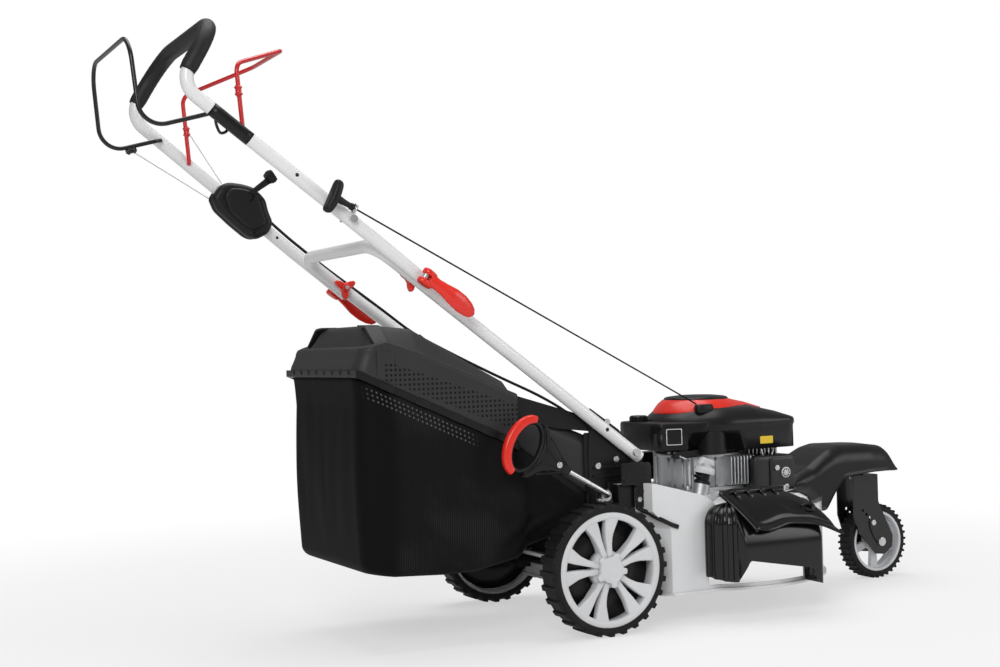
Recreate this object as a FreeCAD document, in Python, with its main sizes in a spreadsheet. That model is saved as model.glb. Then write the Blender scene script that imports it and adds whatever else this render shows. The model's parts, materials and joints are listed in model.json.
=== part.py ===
"""A walk-behind lawn mower with a grass bag, a folding handle and a front caster.

Millimetres.  +X points forward to the caster, +Y to the left, +Z up.  The origin lies on
the ground, under the rear axle, on the middle plane of the mower.
"""
import FreeCAD, Part
import math
import os
import re
import types

import Sketcher

V = FreeCAD.Vector
DOC = FreeCAD.newDocument("lawn_mower")
AXIS_X, AXIS_Y, AXIS_Z = V(1, 0, 0), V(0, 1, 0), V(0, 0, 1)
SIDES = (("left", 1), ("right", -1))

# ---------------------------------------------------------------------------------------
# Driving sizes: word in the sheet, millimetres (angles in degrees) or a formula, meaning
# ---------------------------------------------------------------------------------------
SIZES = (
    ("running_gap", 0.05, "radial play of a shaft in its bore"),
    ("seat_gap", 0.3, "play between a moving piece and its seat"),
    ("wheel_radius", 127, "rear wheel over the lugs"),
    ("tyre_width", 53, "rear tyre"),
    ("rim_radius", 110, "bed of the rear tyre"),
    ("rim_wall", 7, "thickness of the rim's outer ring"),
    ("hub_radius", 24, "rear wheel hub"),
    ("lug_depth", 3.5, "height of the tread lugs"),
    ("lug_width", 13, "tread lug along the tread"),
    ("lug_count", 28, "tread lugs around a rear wheel"),
    ("axle_radius", 7, "rear axle"),
    ("caster_radius", 85.5, "caster wheel"),
    ("caster_width", 40, "caster tyre"),
    ("caster_rim_radius", 69, "bed of the caster tyre"),
    ("caster_x", 869.5, "caster axle"),
    ("swivel_x", 823, "caster swivel axis"),
    ("caster_axle_radius", 6, "caster axle bolt"),
    ("swivel_radius", 8, "swivel bolt"),
    ("fork_wall", 3, "caster fork sheet"),
    ("fork_top", 241, "top face of the caster fork"),
    ("crank_x", 388, "crankshaft axis"),
    ("deck_radius", 262, "front round of the deck"),
    ("deck_side", 235, "half width of the deck behind the round"),
    ("deck_waist", 200, "half width of the deck between the rear wheels"),
    ("half_track", "=deck_waist + tyre_width / 2 + 15.2", "middle plane to the middle of a rear wheel"),
    ("deck_rear_x", 62, "rear wall of the deck"),
    ("deck_bottom", 58, "lower rim of the deck"),
    ("deck_top", 236, "top plate of the deck"),
    ("deck_wall", 2, "deck sheet"),
    ("hump_top", 281, "raised rear of the deck"),
    ("pivot_x", 45, "height adjuster pivot, forward of the rear axle"),
    ("pivot_z", 100, "height adjuster pivot above the ground"),
    ("pivot_radius", 9, "height adjuster cross tube"),
    ("bracket_inner", 172.5, "inner face of a side bracket"),
    ("bracket_wall", 2.5, "side bracket sheet"),
    ("tube_radius", 12, "handle tube outside"),
    ("tube_wall", 1.5, "handle tube wall"),
    ("lower_half", 187, "half spread of the lower handle's legs"),
    ("cam_x", -355, "fold axis of the handle"),
    ("cam_z", 688, "fold axis above the ground"),
    ("lower_slope", 36.9, "slope of the lower handle, degrees"),
    ("upper_slope", 38, "slope of the upper handle, degrees"),
    ("lower_leg", 595, "fold axis to the lower end of the lower handle"),
    ("lower_head", 101, "fold axis to the lower handle's cross bar"),
    ("grip_half", 184, "half width of the upper handle at the grip"),
    ("grip_x", -718, "grip cross bar"),
    ("grip_z", 1139, "grip cross bar above the ground"),
    ("foam_radius", 15.5, "foam grip outside"),
    ("rod_radius", 4, "bail rods"),
    ("cam_bolt_radius", 4, "clamp bolt of the handle joint"),
    ("blade_half", 255, "blade tip radius"),
    ("blade_z", 84, "underside of the blade"),
    ("shaft_radius", 12.5, "crankshaft"),
    ("case_radius", 88, "crankcase"),
    ("case_top", 318, "top of the crankcase"),
    ("cover_half", 126, "half width of the engine cover"),
    ("cover_rear_x", 292, "rear of the engine cover"),
    ("cover_front_x", 582, "front of the engine cover"),
    ("cover_bottom", 326, "lower edge of the engine cover"),
    ("cover_shoulder", 384, "edge where the cover starts to slope"),
    ("cover_top", 418, "flat top of the cover"),
    ("cover_wall", 3, "engine cover wall"),
    ("cap_radius", 84, "recoil starter cap"),
    ("cap_top", 436, "top of the recoil starter cap"),
    ("bag_half", 190, "half width of the grass bag lid"),
    ("bag_rear_x", -476, "rear of the grass bag"),
    ("bag_front_x", 9, "mouth of the grass bag"),
    ("bag_bottom", 136, "lowest part of the grass bag"),
    ("bag_wall", 3, "wall of the lid and of the bag"),
    ("band_height", 13, "frame band between lid and bag"),
    ("flap_half", 168, "half width of the rear flap"),
    ("flap_axis_x", 38, "rear flap hinge"),
    ("flap_axis_z", 404, "rear flap hinge above the ground"),
    ("chute_out", "=deck_radius + 41", "outer face of the side chute"),
    ("chute_rear_x", 240, "rear end of the side chute"),
    ("chute_front_x", 478, "front end of the side chute"),
    ("sheet_wall", 3, "moulded plastic sheet of chute and flaps"),
    ("side_axis_y", "=deck_radius - 24", "side flap hinge, from the middle plane"),
    ("side_axis_z", 252, "side flap hinge above the ground"),
    ("hinge_rod_radius", 3, "hinge rods of both flaps"),
    ("rope_radius", 1.6, "starter rope"),
    ("cable_radius", 3, "control cables"),
    ("wire_radius", 1, "bail wires"),
)


def make_sheet():
    """Write every driving size to a spreadsheet cell with its word as the alias."""
    sheet = DOC.addObject("Spreadsheet::Sheet", "Sizes")
    for row, (word, value, meaning) in enumerate(SIZES, 1):
        sheet.set("A%d" % row, str(value))
        sheet.setAlias("A%d" % row, word)
        sheet.set("B%d" % row, meaning)
    DOC.recompute()
    return sheet


SHEET = make_sheet()
WORDS = {word for word, _, _ in SIZES}
s = types.SimpleNamespace(**{word: float(SHEET.get(word)) for word in WORDS})


# ---------------------------------------------------------------------------------------
# Helpers for parametric objects
# ---------------------------------------------------------------------------------------
def in_sheet(formula):
    """Put the sheet's name before each of its words in a formula."""
    return re.sub(r"[a-z][a-z_]*", lambda m: "Sizes." + m[0] if m[0] in WORDS else m[0], formula)


def bind(thing, **formulas):
    """Tie properties to formulas over the sheet; a double underscore stands for a dot."""
    for name, formula in formulas.items():
        thing.setExpression(name.replace("__", "."), in_sheet(str(formula)))
    return thing


def new_body(name):
    body = DOC.addObject("PartDesign::Body", name)
    body.Label = name
    return body


def place(thing, x="0", y="0", z="0", axis=None, angle=0):
    """Turn an object, then bind its position to formulas."""
    if axis is not None:
        thing.Placement = FreeCAD.Placement(V(0, 0, 0), FreeCAD.Rotation(axis, angle))
    bind(thing, Placement__Base__x=x, Placement__Base__y=y, Placement__Base__z=z)
    return thing


def sketch_on(body, role, offset="0"):
    """A sketch on one of the body's own origin planes, moved along that plane's normal."""
    sketch = body.newObject("Sketcher::SketchObject", body.Name + "_sketch")
    plane = next(f for f in body.Origin.OriginFeatures if f.Role == role)
    sketch.AttachmentSupport = [(plane, "")]
    sketch.MapMode = "FlatFace"
    bind(sketch, AttachmentOffset__Base__z=offset)
    return sketch


def fix_point(sketch, geometry, point, x, y):
    """Hold a point of a sketch at two formulas, measured from the sketch's origin."""
    for kind, formula in (("DistanceX", x), ("DistanceY", y)):
        index = sketch.addConstraint(Sketcher.Constraint(kind, -1, 1, geometry, point, 1.0))
        sketch.setExpression("Constraints[%d]" % index, in_sheet(str(formula)))


def draw_outline(sketch, points):
    """A closed outline of straight lines whose corners are pairs of formulas."""
    count = len(points)
    start = sketch.GeometryCount
    ring = [V(math.cos(math.tau * i / count), math.sin(math.tau * i / count), 0) for i in range(count)]
    for i in range(count):
        sketch.addGeometry(Part.LineSegment(ring[i], ring[(i + 1) % count]), False)
    for i in range(count):
        following = start + (i + 1) % count
        sketch.addConstraint(Sketcher.Constraint("Coincident", start + i, 2, following, 1))
    for i, (x, y) in enumerate(points):
        fix_point(sketch, start + i, 1, x, y)


def draw_circle(sketch, radius, x="0", y="0"):
    index = sketch.addGeometry(Part.Circle(V(1, 1, 0), AXIS_Z, 1.0), False)
    number = sketch.addConstraint(Sketcher.Constraint("Radius", index, 1.0))
    sketch.setExpression("Constraints[%d]" % number, in_sheet(str(radius)))
    fix_point(sketch, index, 3, x, y)


def pad(body, sketch, length, middle=False):
    feature = body.newObject("PartDesign::Pad", body.Name + "_pad")
    feature.Profile = sketch
    if middle:
        feature.Midplane = True
    bind(feature, Length=length)
    return feature


def cut_through(body, sketch):
    """A pocket through the whole body, both ways from the sketch."""
    feature = body.newObject("PartDesign::Pocket", body.Name + "_pocket")
    feature.Profile = sketch
    feature.Type = "ThroughAll"
    feature.Midplane = True
    return feature


def revolve(body, role, points, about="V_Axis"):
    """Turn an outline, drawn as (distance, height) pairs, about an axis of its sketch."""
    sketch = sketch_on(body, role)
    draw_outline(sketch, points)
    feature = body.newObject("PartDesign::Revolution", body.Name + "_turned")
    feature.Profile = sketch
    feature.ReferenceAxis = (sketch, [about])
    feature.Angle = 360
    return feature


def repeat_round(body, features, role, count):
    """Copy features evenly round one of the body's axes."""
    axis = next(f for f in body.Origin.OriginFeatures if f.Role == role)
    pattern = body.newObject("PartDesign::PolarPattern", body.Name + "_round")
    pattern.Originals = features
    pattern.Axis = (axis, [""])
    pattern.Angle = 360
    bind(pattern, Occurrences=count)
    body.Tip = pattern
    return pattern


def primitive(kind, name, axis=None, angle=0, x="0", y="0", z="0", **formulas):
    thing = DOC.addObject("Part::" + kind, name)
    thing.Label = name
    bind(thing, **formulas)
    return place(thing, x, y, z, axis, angle)


def cylinder(name, radius, height, x="0", y="0", z="0", axis=None, angle=0):
    return primitive("Cylinder", name, axis, angle, x, y, z, Radius=radius, Height=height)


def box(name, length, width, height, x="0", y="0", z="0"):
    return primitive("Box", name, None, 0, x, y, z, Length=length, Width=width, Height=height)


def fuse(name, things):
    thing = DOC.addObject("Part::MultiFuse", name)
    thing.Label = name
    thing.Shapes = things
    return thing


def cut(name, base, tool):
    thing = DOC.addObject("Part::Cut", name)
    thing.Label = name
    thing.Base = base
    thing.Tool = tool
    return thing


def group(name, things):
    """Several separate solids that share one node."""
    thing = DOC.addObject("Part::Compound", name)
    thing.Label = name
    thing.Links = things
    return thing


def rounded(name, base, radius, wanted):
    """Fillet the edges of a base object that the test called wanted picks."""
    DOC.recompute()
    thing = DOC.addObject("Part::Fillet", name)
    thing.Label = name
    thing.Base = base
    edges = [i for i, edge in enumerate(base.Shape.Edges, 1) if wanted(edge)]
    thing.Edges = [(i, radius, radius) for i in edges]
    return thing


def feature(name, shape):
    """A node whose shape is worked out with Part's own functions."""
    thing = DOC.addObject("Part::Feature", name)
    thing.Label = name
    thing.Shape = shape
    return thing


# ---------------------------------------------------------------------------------------
# Helpers for shapes
# ---------------------------------------------------------------------------------------
def mirrored_y(point):
    return V(point.x, -point.y, point.z)


def both_sides(half):
    """A path that comes in on the left, crosses the middle plane and goes out on the right."""
    return half + [mirrored_y(p) for p in reversed(half)]


def rounded_path(points, radii):
    """Straight runs through the points, joined by tangent arcs of the given radii."""
    edges = []
    start = points[0]
    for before, corner, after, radius in zip(points, points[1:], points[2:], radii):
        back = (before - corner).normalize()
        ahead = (after - corner).normalize()
        half_turn = (math.pi - back.getAngle(ahead)) / 2
        reach = radius * math.tan(half_turn)
        first, last = corner + back * reach, corner + ahead * reach
        inward = (back + ahead).normalize()
        middle = corner + inward * (radius / math.cos(half_turn) - radius)
        edges.append(Part.LineSegment(start, first).toShape())
        edges.append(Part.Arc(first, middle, last).toShape())
        start = last
    edges.append(Part.LineSegment(start, points[-1]).toShape())
    return Part.Wire(edges)


def largest_radii(points):
    """For a cable: the largest arcs that its runs allow."""
    radii = []
    for before, corner, after in zip(points, points[1:], points[2:]):
        back, ahead = before - corner, after - corner
        half_turn = (math.pi - back.getAngle(ahead)) / 2
        radii.append(0.45 * min(back.Length, ahead.Length) / math.tan(half_turn))
    return radii


def swept(path, radius):
    """A round bar along a path."""
    start = path.OrderedVertexes[0].Point
    direction = path.OrderedEdges[0].tangentAt(path.OrderedEdges[0].FirstParameter)
    ring = Part.Wire(Part.makeCircle(radius, start, direction))
    return path.makePipeShell([ring], True, False)


def cable(name, points, radius):
    """A cable along chosen points, with its length and bends reported."""
    radii = largest_radii(points)
    path = rounded_path(points, radii)
    bar = swept(path, radius)
    share = bar.Volume / (math.pi * radius ** 2 * path.Length)
    print("%s: length %.0f, radii %s, volume share %.3f"
          % (name, path.Length, " ".join("%.0f" % r for r in radii), share))
    return bar


def prism_y(outline, low, high):
    """An outline of (x, z) pairs, extruded from low to high along Y."""
    ring = [V(x, low, z) for x, z in outline]
    return Part.Face(Part.makePolygon(ring + ring[:1])).extrude(V(0, high - low, 0))


def prism_z(outline, low, high):
    """An outline of (x, y) pairs, extruded from low to high along Z."""
    ring = [V(x, y, low) for x, y in outline]
    return Part.Face(Part.makePolygon(ring + ring[:1])).extrude(V(0, 0, high - low))


def prism_x(outline, low, high):
    """An outline of (y, z) pairs, extruded from low to high along X."""
    ring = [V(low, y, z) for y, z in outline]
    return Part.Face(Part.makePolygon(ring + ring[:1])).extrude(V(high - low, 0, 0))


def bar_between(start, end, radius):
    return Part.makeCylinder(radius, (end - start).Length, start, end - start)


def fused(shapes):
    return shapes[0].multiFuse(shapes[1:]).removeSplitter()


def section(x, half_low, half_top, z_low, z_shoulder, z_top):
    """A cross section at one X: upright sides that lean in to a flat top."""
    right = [V(x, -half_low, z_low), V(x, -half_low, z_shoulder), V(x, -half_top, z_top)]
    ring = right + [mirrored_y(p) for p in reversed(right)]
    return Part.makePolygon(ring + ring[:1])


def channel(stations, wall, close_rear=0.0, close_front=0.0, reach=0.0):
    """A hood that is open below: cross sections along X, less the same ones inset by a wall.

    Each station is (x, half_low, half_top, z_low, z_shoulder, z_top).  The ends are closed
    by the given thicknesses, and reach takes the hollow below the lower edge.
    """
    outer = Part.makeLoft([section(*one) for one in stations], True, True)
    inset = []
    for x, half_low, half_top, z_low, z_shoulder, z_top in stations:
        inset.append((x, half_low - wall, half_top - wall * 0.6, z_low - reach, z_shoulder - wall * 0.6,
                      z_top - wall))
    x_first, x_last = stations[0][0] + close_rear, stations[-1][0] - close_front
    inset[0] = (x_first - (0 if close_rear else 1),) + inset[0][1:]
    inset[-1] = (x_last + (0 if close_front else 1),) + inset[-1][1:]
    inner = Part.makeLoft([section(*one) for one in inset], True, True)
    return outer.cut(inner)


# ---------------------------------------------------------------------------------------
# Points that several pieces share
# ---------------------------------------------------------------------------------------
CAM = V(s.cam_x, 0, s.cam_z)
LOWER_DIR = V(-math.cos(math.radians(s.lower_slope)), 0, math.sin(math.radians(s.lower_slope)))
UPPER_DIR = V(-math.cos(math.radians(s.upper_slope)), 0, math.sin(math.radians(s.upper_slope)))
UPPER_HALF = s.lower_half + 2 * s.tube_radius + s.seat_gap
SHEET_TOP = s.deck_top + s.seat_gap
BELT_Z = s.deck_bottom + 106
COVER_POSTS = ((-64, 64), (-64, -64), (100, 24), (100, -24))
OIL_LEAN = 15


def on_lower(distance, y=0.0):
    """A point on the lower handle's axis; distance is counted up from the fold axis."""
    return CAM + LOWER_DIR * distance + V(0, y, 0)


def upper_half_at(distance):
    """Half spread of the upper handle: parallel past the joint, then closing to the grip."""
    straight, full = 120.0, 545.0
    share = max(0.0, (distance - straight) / (full - straight))
    return UPPER_HALF + (s.grip_half + 3 - UPPER_HALF) * share


def on_upper(distance, side=0):
    """A point on the upper handle's axis, on the middle plane or on one leg."""
    return CAM + UPPER_DIR * distance + V(0, side * upper_half_at(distance), 0)


# ---------------------------------------------------------------------------------------
# Wheels
# ---------------------------------------------------------------------------------------
def make_tyre(name, radius, bed, width, lug_depth, lug_width, lug_count, x, y, z):
    """A tyre turned about Y, with cross lugs round its tread."""
    tyre = new_body(name)
    tread = "%s - %s" % (radius, lug_depth)
    revolve(tyre, "YZ_Plane", [
        ("-%s / 2" % width, bed),
        ("%s / 2" % width, bed),
        ("%s / 2" % width, "%s - 5" % tread),
        ("%s / 2 - 6" % width, tread),
        ("6 - %s / 2" % width, tread),
        ("-%s / 2" % width, "%s - 5" % tread),
    ], about="H_Axis")
    lug = sketch_on(tyre, "XZ_Plane")
    draw_outline(lug, [
        ("-%s / 2" % lug_width, "%s - 5" % tread),
        ("%s / 2" % lug_width, "%s - 5" % tread),
        ("%s / 2 - 1.5" % lug_width, radius),
        ("1.5 - %s / 2" % lug_width, radius),
    ])
    one = pad(tyre, lug, "%s - 4" % width, middle=True)
    repeat_round(tyre, [one], "Y_Axis", lug_count)
    return place(tyre, x, y, z)


def make_rear_rim(name, side):
    """A rear rim: hub, web with five pairs of spokes, and the bed for the tyre."""
    rim = new_body(name)
    out = "" if side > 0 else "-"
    web_in, web_out = out + "(tyre_width / 2 - 16)", out + "(tyre_width / 2 - 6)"
    hub_in, hub_out = out + "(2 - tyre_width / 2)", out + "(tyre_width / 2 - 6)"
    revolve(rim, "YZ_Plane", [
        (hub_in, "axle_radius + running_gap"),
        (hub_in, "hub_radius"),
        (web_in, "hub_radius"),
        (web_in, "rim_radius - rim_wall"),
        (out + "(0.5 - tyre_width / 2)", "rim_radius - rim_wall"),
        (out + "(0.5 - tyre_width / 2)", "rim_radius"),
        (out + "(tyre_width / 2 - 0.5)", "rim_radius"),
        (out + "(tyre_width / 2 - 0.5)", "rim_radius - rim_wall"),
        (web_out, "rim_radius - rim_wall - 2"),
        (web_out, "axle_radius + running_gap"),
    ], about="H_Axis")
    window = sketch_on(rim, "XZ_Plane")
    draw_outline(window, [
        ("-20", "rim_radius - rim_wall - 4"),
        ("20", "rim_radius - rim_wall - 4"),
        ("24", "rim_radius - rim_wall - 14"),
        ("8", "hub_radius + 21"),
        ("-8", "hub_radius + 21"),
        ("-24", "rim_radius - rim_wall - 14"),
    ])
    wide = cut_through(rim, window)
    repeat_round(rim, [wide], "Y_Axis", "5")
    slit = sketch_on(rim, "XZ_Plane")
    draw_outline(slit, [
        ("-20", "4 - rim_radius + rim_wall"),
        ("20", "4 - rim_radius + rim_wall"),
        ("23", "14 - rim_radius + rim_wall"),
        ("3.5", "-hub_radius - 29"),
        ("-3.5", "-hub_radius - 29"),
        ("-23", "14 - rim_radius + rim_wall"),
    ])
    narrow = cut_through(rim, slit)
    repeat_round(rim, [narrow], "Y_Axis", "5")
    return place(rim, "0", "%g * half_track" % side, "wheel_radius")


def make_hub_cap(name, side):
    """A dished cap with a centre boss, over the axle's end."""
    cap = new_body(name)
    out = "" if side > 0 else "-"
    face = "tyre_width / 2 - 6"
    revolve(cap, "YZ_Plane", [
        (out + "(%s)" % face, "axle_radius + 6"),
        (out + "(%s)" % face, "hub_radius + 12"),
        (out + "(%s + 4)" % face, "hub_radius + 11"),
        (out + "(%s + 8)" % face, "hub_radius"),
        (out + "(%s + 12)" % face, "hub_radius - 4"),
        (out + "(%s + 12)" % face, "0"),
        (out + "(%s + 9)" % face, "0"),
        (out + "(%s + 9)" % face, "axle_radius + 6"),
    ], about="H_Axis")
    notch = sketch_on(cap, "XZ_Plane")
    draw_circle(notch, "9", "0", "hub_radius + 19")
    scallop = cut_through(cap, notch)
    repeat_round(cap, [scallop], "Y_Axis", "5")
    return place(cap, "0", "%g * half_track" % side, "wheel_radius")


def make_wheels():
    for word, side in SIDES:
        make_tyre("rear_tyre_" + word, "wheel_radius", "rim_radius", "tyre_width", "lug_depth",
                  "lug_width", "lug_count", "0", "%g * half_track" % side, "wheel_radius")
        rim, cap = make_rear_rim("rim_" + word, side), make_hub_cap("hub_cap_" + word, side)
        group("rear_rim_" + word, [rim, cap])
    axle = cylinder("axle_bar", "axle_radius", "2 * (half_track + tyre_width / 2 - 4)",
                    y="-(half_track + tyre_width / 2 - 4)", z="wheel_radius", axis=AXIS_X, angle=-90)
    clips = []
    for word, side in SIDES:
        clip = primitive("Prism", "axle_nut_" + word, AXIS_X, -90, "0",
                         "%g * (half_track + tyre_width / 2 - 2.9) - 3" % side, "wheel_radius",
                         Circumradius="axle_radius + 5", Height="5.4")
        clip.Polygon = 6
        clips.append(clip)
    return fuse("rear_axle", [axle] + clips)


# ---------------------------------------------------------------------------------------
# Caster
# ---------------------------------------------------------------------------------------
def make_caster_rim():
    rim = new_body("caster_rim")
    revolve(rim, "YZ_Plane", [
        ("-caster_width / 2 + 2", "caster_axle_radius + running_gap"),
        ("-caster_width / 2 + 2", "16"),
        ("-5", "16"),
        ("-5", "caster_rim_radius - 6"),
        ("0.5 - caster_width / 2", "caster_rim_radius - 6"),
        ("0.5 - caster_width / 2", "caster_rim_radius"),
        ("caster_width / 2 - 0.5", "caster_rim_radius"),
        ("caster_width / 2 - 0.5", "caster_rim_radius - 6"),
        ("5", "caster_rim_radius - 6"),
        ("5", "16"),
        ("caster_width / 2 - 2", "16"),
        ("caster_width / 2 - 2", "caster_axle_radius + running_gap"),
    ], about="H_Axis")
    window = sketch_on(rim, "XZ_Plane")
    draw_outline(window, [
        ("-27", "caster_rim_radius - 15"),
        ("-14", "caster_rim_radius - 10"),
        ("14", "caster_rim_radius - 10"),
        ("27", "caster_rim_radius - 15"),
        ("7", "22"),
        ("-7", "22"),
    ])
    opening = cut_through(rim, window)
    repeat_round(rim, [opening], "Y_Axis", "5")
    return place(rim, "caster_x", "0", "caster_radius")


def make_caster():
    make_tyre("caster_tyre", "caster_radius", "caster_rim_radius", "caster_width", "2.5", "7", "36",
              "caster_x", "0", "caster_radius")
    make_caster_rim()
    cheek = s.caster_width / 2 + 7
    eye = V(s.caster_x, 0, s.caster_radius)
    rear_x, front_x = s.swivel_x - 29, s.swivel_x + 43
    side_outline = [
        (rear_x, s.fork_top), (front_x, s.fork_top), (front_x, s.fork_top - 62),
        (front_x + 8, s.fork_top - 80), (eye.x + 36, eye.z + 12), (eye.x + 34, eye.z - 14),
        (eye.x + 10, eye.z - 30), (eye.x - 16, eye.z - 27), (rear_x + 12, eye.z + 26),
        (rear_x, s.fork_top - 94),
    ]
    fork = prism_y(side_outline, -cheek - s.fork_wall, cheek + s.fork_wall)
    hollow = prism_y([(rear_x - 1, s.fork_top - s.fork_wall), (eye.x + 60, s.fork_top - s.fork_wall),
                      (eye.x + 60, 20), (rear_x - 1, 20)], -cheek, cheek)
    fork = fork.cut(hollow)
    swivel_hole = Part.makeCylinder(s.swivel_radius + s.running_gap, 40, V(s.swivel_x, 0, s.fork_top - 20),
                                    AXIS_Z)
    fork = fork.cut(swivel_hole)
    for x, z, radius in ((eye.x, eye.z, s.caster_axle_radius + s.running_gap), (rear_x + 26, 160, 3.5),
                         (rear_x + 36, 150, 3.5), (rear_x + 46, 142, 3.5)):
        fork = fork.cut(Part.makeCylinder(radius, 90, V(x, -45, z), AXIS_Y))
    feature("caster_fork", fork)
    reach = cheek + s.fork_wall
    axle = Part.makeCylinder(s.caster_axle_radius, 2 * reach, V(eye.x, -reach, eye.z), AXIS_Y)
    heads = [Part.makeCylinder(10, 6, V(eye.x, y, eye.z), AXIS_Y) for y in (-reach - 6, reach)]
    sleeves = []
    for low, high in ((-cheek, 2 - s.caster_width / 2), (s.caster_width / 2 - 2, cheek)):
        sleeves.append(Part.makeCylinder(10, high - low - 0.4, V(eye.x, low + 0.2, eye.z), AXIS_Y))
    axle_bolt = fused([axle] + heads + sleeves)
    below = s.fork_top - s.fork_wall - 7
    shank = Part.makeCylinder(s.swivel_radius, s.fork_top + 54 - below, V(s.swivel_x, 0, below), AXIS_Z)
    head = Part.makeCylinder(14, 7, V(s.swivel_x, 0, below), AXIS_Z)
    nut = Part.makeCylinder(13, 8, V(s.swivel_x, 0, s.fork_top + 46), AXIS_Z)
    feature("caster_bolts", Part.makeCompound([axle_bolt, fused([shank, head, nut])]))


def make_front_fender():
    """An arched hood that carries the caster's swivel and bolts to the deck's nose."""
    nose = s.crank_x + s.deck_radius
    foot = SHEET_TOP
    crown = s.fork_top + 71
    stations = [
        (nose - 65, 82, 66, foot, foot + 14, foot + 26),
        (nose - 44, 82, 64, foot, foot + 30, foot + 52),
        (nose - 6, 80, 60, foot, crown - 22, crown - 4),
        (nose + 5, 80, 60, s.fork_top - 66, crown - 22, crown - 2),
        (nose + 24, 79, 58, s.fork_top - 66, crown - 22, crown - 1),
        (nose + 55, 77, 56, s.fork_top - 24, crown - 22, crown),
        (nose + 82, 75, 54, s.fork_top + 6, crown - 22, crown),
        (s.swivel_x - 5, 72, 52, s.fork_top + 11, crown - 24, crown - 1),
        (s.swivel_x + 50, 66, 48, s.fork_top + 10, crown - 34, crown - 12),
        (s.swivel_x + 76, 56, 44, s.fork_top + 9, s.fork_top + 16, s.fork_top + 20),
    ]
    shell = channel(stations, 4, reach=1)
    boss_low = s.fork_top + s.seat_gap
    boss = Part.makeCylinder(20, crown - 14 - boss_low, V(s.swivel_x, 0, boss_low), AXIS_Z)
    room = Part.makeCylinder(15, 60, V(s.swivel_x, 0, s.fork_top + 45.5), AXIS_Z)
    web_top = crown - 16
    webs = [
        Part.makeBox(140, 5, web_top - s.fork_top - 12, V(s.swivel_x - 85, -2.5, s.fork_top + 12)),
        Part.makeBox(5, 130, web_top - s.fork_top - 12, V(s.swivel_x - 2.5, -65, s.fork_top + 12)),
    ]
    floor = prism_z([(nose - 62, -60), (nose - 20, -60), (nose - 20, 60), (nose - 62, 60)], foot, foot + 4)
    inside = Part.makeLoft([section(*one) for one in stations], True, True)
    inner = fused([boss] + webs).cut(room)
    inner = inner.common(inside.fuse(Part.makeBox(60, 60, 20, V(s.swivel_x - 30, -30, boss_low))))
    body = fused([shell, inner, floor])
    bore = Part.makeCylinder(s.swivel_radius + s.running_gap, 90, V(s.swivel_x, 0, boss_low - 5), AXIS_Z)
    body = body.cut(bore)
    for x, y in fender_bolt_places():
        body = body.cut(Part.makeCylinder(4 + s.running_gap, 14, V(x, y, foot - 5), AXIS_Z))
    return feature("front_fender", body)


# ---------------------------------------------------------------------------------------
# Deck
# ---------------------------------------------------------------------------------------
def deck_ring(inset, z, flare=68, run=30):
    """The deck's outline in plan, drawn in by an inset: waist, sides and the front round.

    The waist widens to the sides over the run, from the flare's distance ahead of the rear wall.
    """
    radius = s.deck_radius - inset
    side, waist = s.deck_side - inset, s.deck_waist - inset
    meet = s.crank_x - math.sqrt(radius ** 2 - side ** 2)
    rear = s.deck_rear_x + inset
    flare_x = s.deck_rear_x + flare
    corners = [V(meet, side, z), V(flare_x + run, side, z), V(flare_x, waist, z), V(rear, waist, z)]
    corners += [mirrored_y(p) for p in reversed(corners)]
    edges = [Part.LineSegment(a, b).toShape() for a, b in zip(corners, corners[1:])]
    front = V(s.crank_x + radius, 0, z)
    edges.append(Part.Arc(corners[-1], front, corners[0]).toShape())
    return Part.Wire(edges)


def deck_solid(inset, low, high):
    """The deck's outside, or its hollow when it is inset: a skirt with a sloping shoulder."""
    rings = [(inset, low), (inset, high - 26), (inset + 8, high - 8), (inset + 26, high)]
    return Part.makeLoft([deck_ring(*one) for one in rings], True, True)


def deck_hump(inset):
    """The raised rear of the deck: it slopes to the deck's top, and widens above the wheels."""
    low, rear, high = s.deck_top - 46, s.deck_rear_x + inset, s.hump_top - inset
    crest, front = s.deck_rear_x + 62, s.deck_rear_x + 230
    ridge = [(rear, low), (rear, high), (crest, high), (front - 3 * inset, s.deck_top - inset),
             (front - 3 * inset, low)]
    half = s.deck_waist - 4 - inset
    middle = prism_y(ridge, -half, half)
    rings = [deck_ring(inset, low), deck_ring(inset, s.deck_top - 10, 48, 8),
             deck_ring(inset, s.hump_top, 48, 8)]
    wings = Part.makeLoft(rings, True, True)
    slope = (s.hump_top - s.deck_top) / 168
    brow = [(rear, low), (rear, high), (crest, high), (crest + 112, high - 112 * slope),
            (crest + 138 - inset, s.deck_top - inset), (crest + 138 - inset, low)]
    return fused([middle, wings.common(prism_y(brow, -s.deck_side, s.deck_side))])


def make_deck():
    outer = fused([deck_solid(0, s.deck_bottom, s.deck_top), deck_hump(0)])
    inner = fused([deck_solid(s.deck_wall, s.deck_bottom - 5, s.deck_top - s.deck_wall),
                   deck_hump(s.deck_wall)])
    rim = Part.makeLoft([deck_ring(-6, s.deck_bottom), deck_ring(-6, s.deck_bottom + 5)], True, True)
    shell = fused([outer, rim]).cut(inner)
    far = s.deck_radius + 30
    openings = [
        Part.makeCylinder(46, 60, V(s.crank_x, 0, s.deck_top - 30), AXIS_Z),
        Part.makeBox(30, 196, 150, V(s.deck_rear_x - 15, -31, s.deck_bottom + 62)),
        Part.makeBox(30, 118, 30, V(s.deck_rear_x - 15, -155, BELT_Z - 15)),
        Part.makeBox(s.chute_front_x - s.chute_rear_x - 12, 90, 96,
                     V(s.chute_rear_x + 6, -far, s.deck_bottom + 12)),
    ]
    for opening in openings:
        shell = shell.cut(opening)
    for x, y in engine_bolt_places() + fender_bolt_places() + bracket_bolt_places():
        shell = shell.cut(Part.makeCylinder(4 + s.running_gap, 90, V(x, y, s.deck_top - 30), AXIS_Z))
    return feature("deck_shell", shell)


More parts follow.
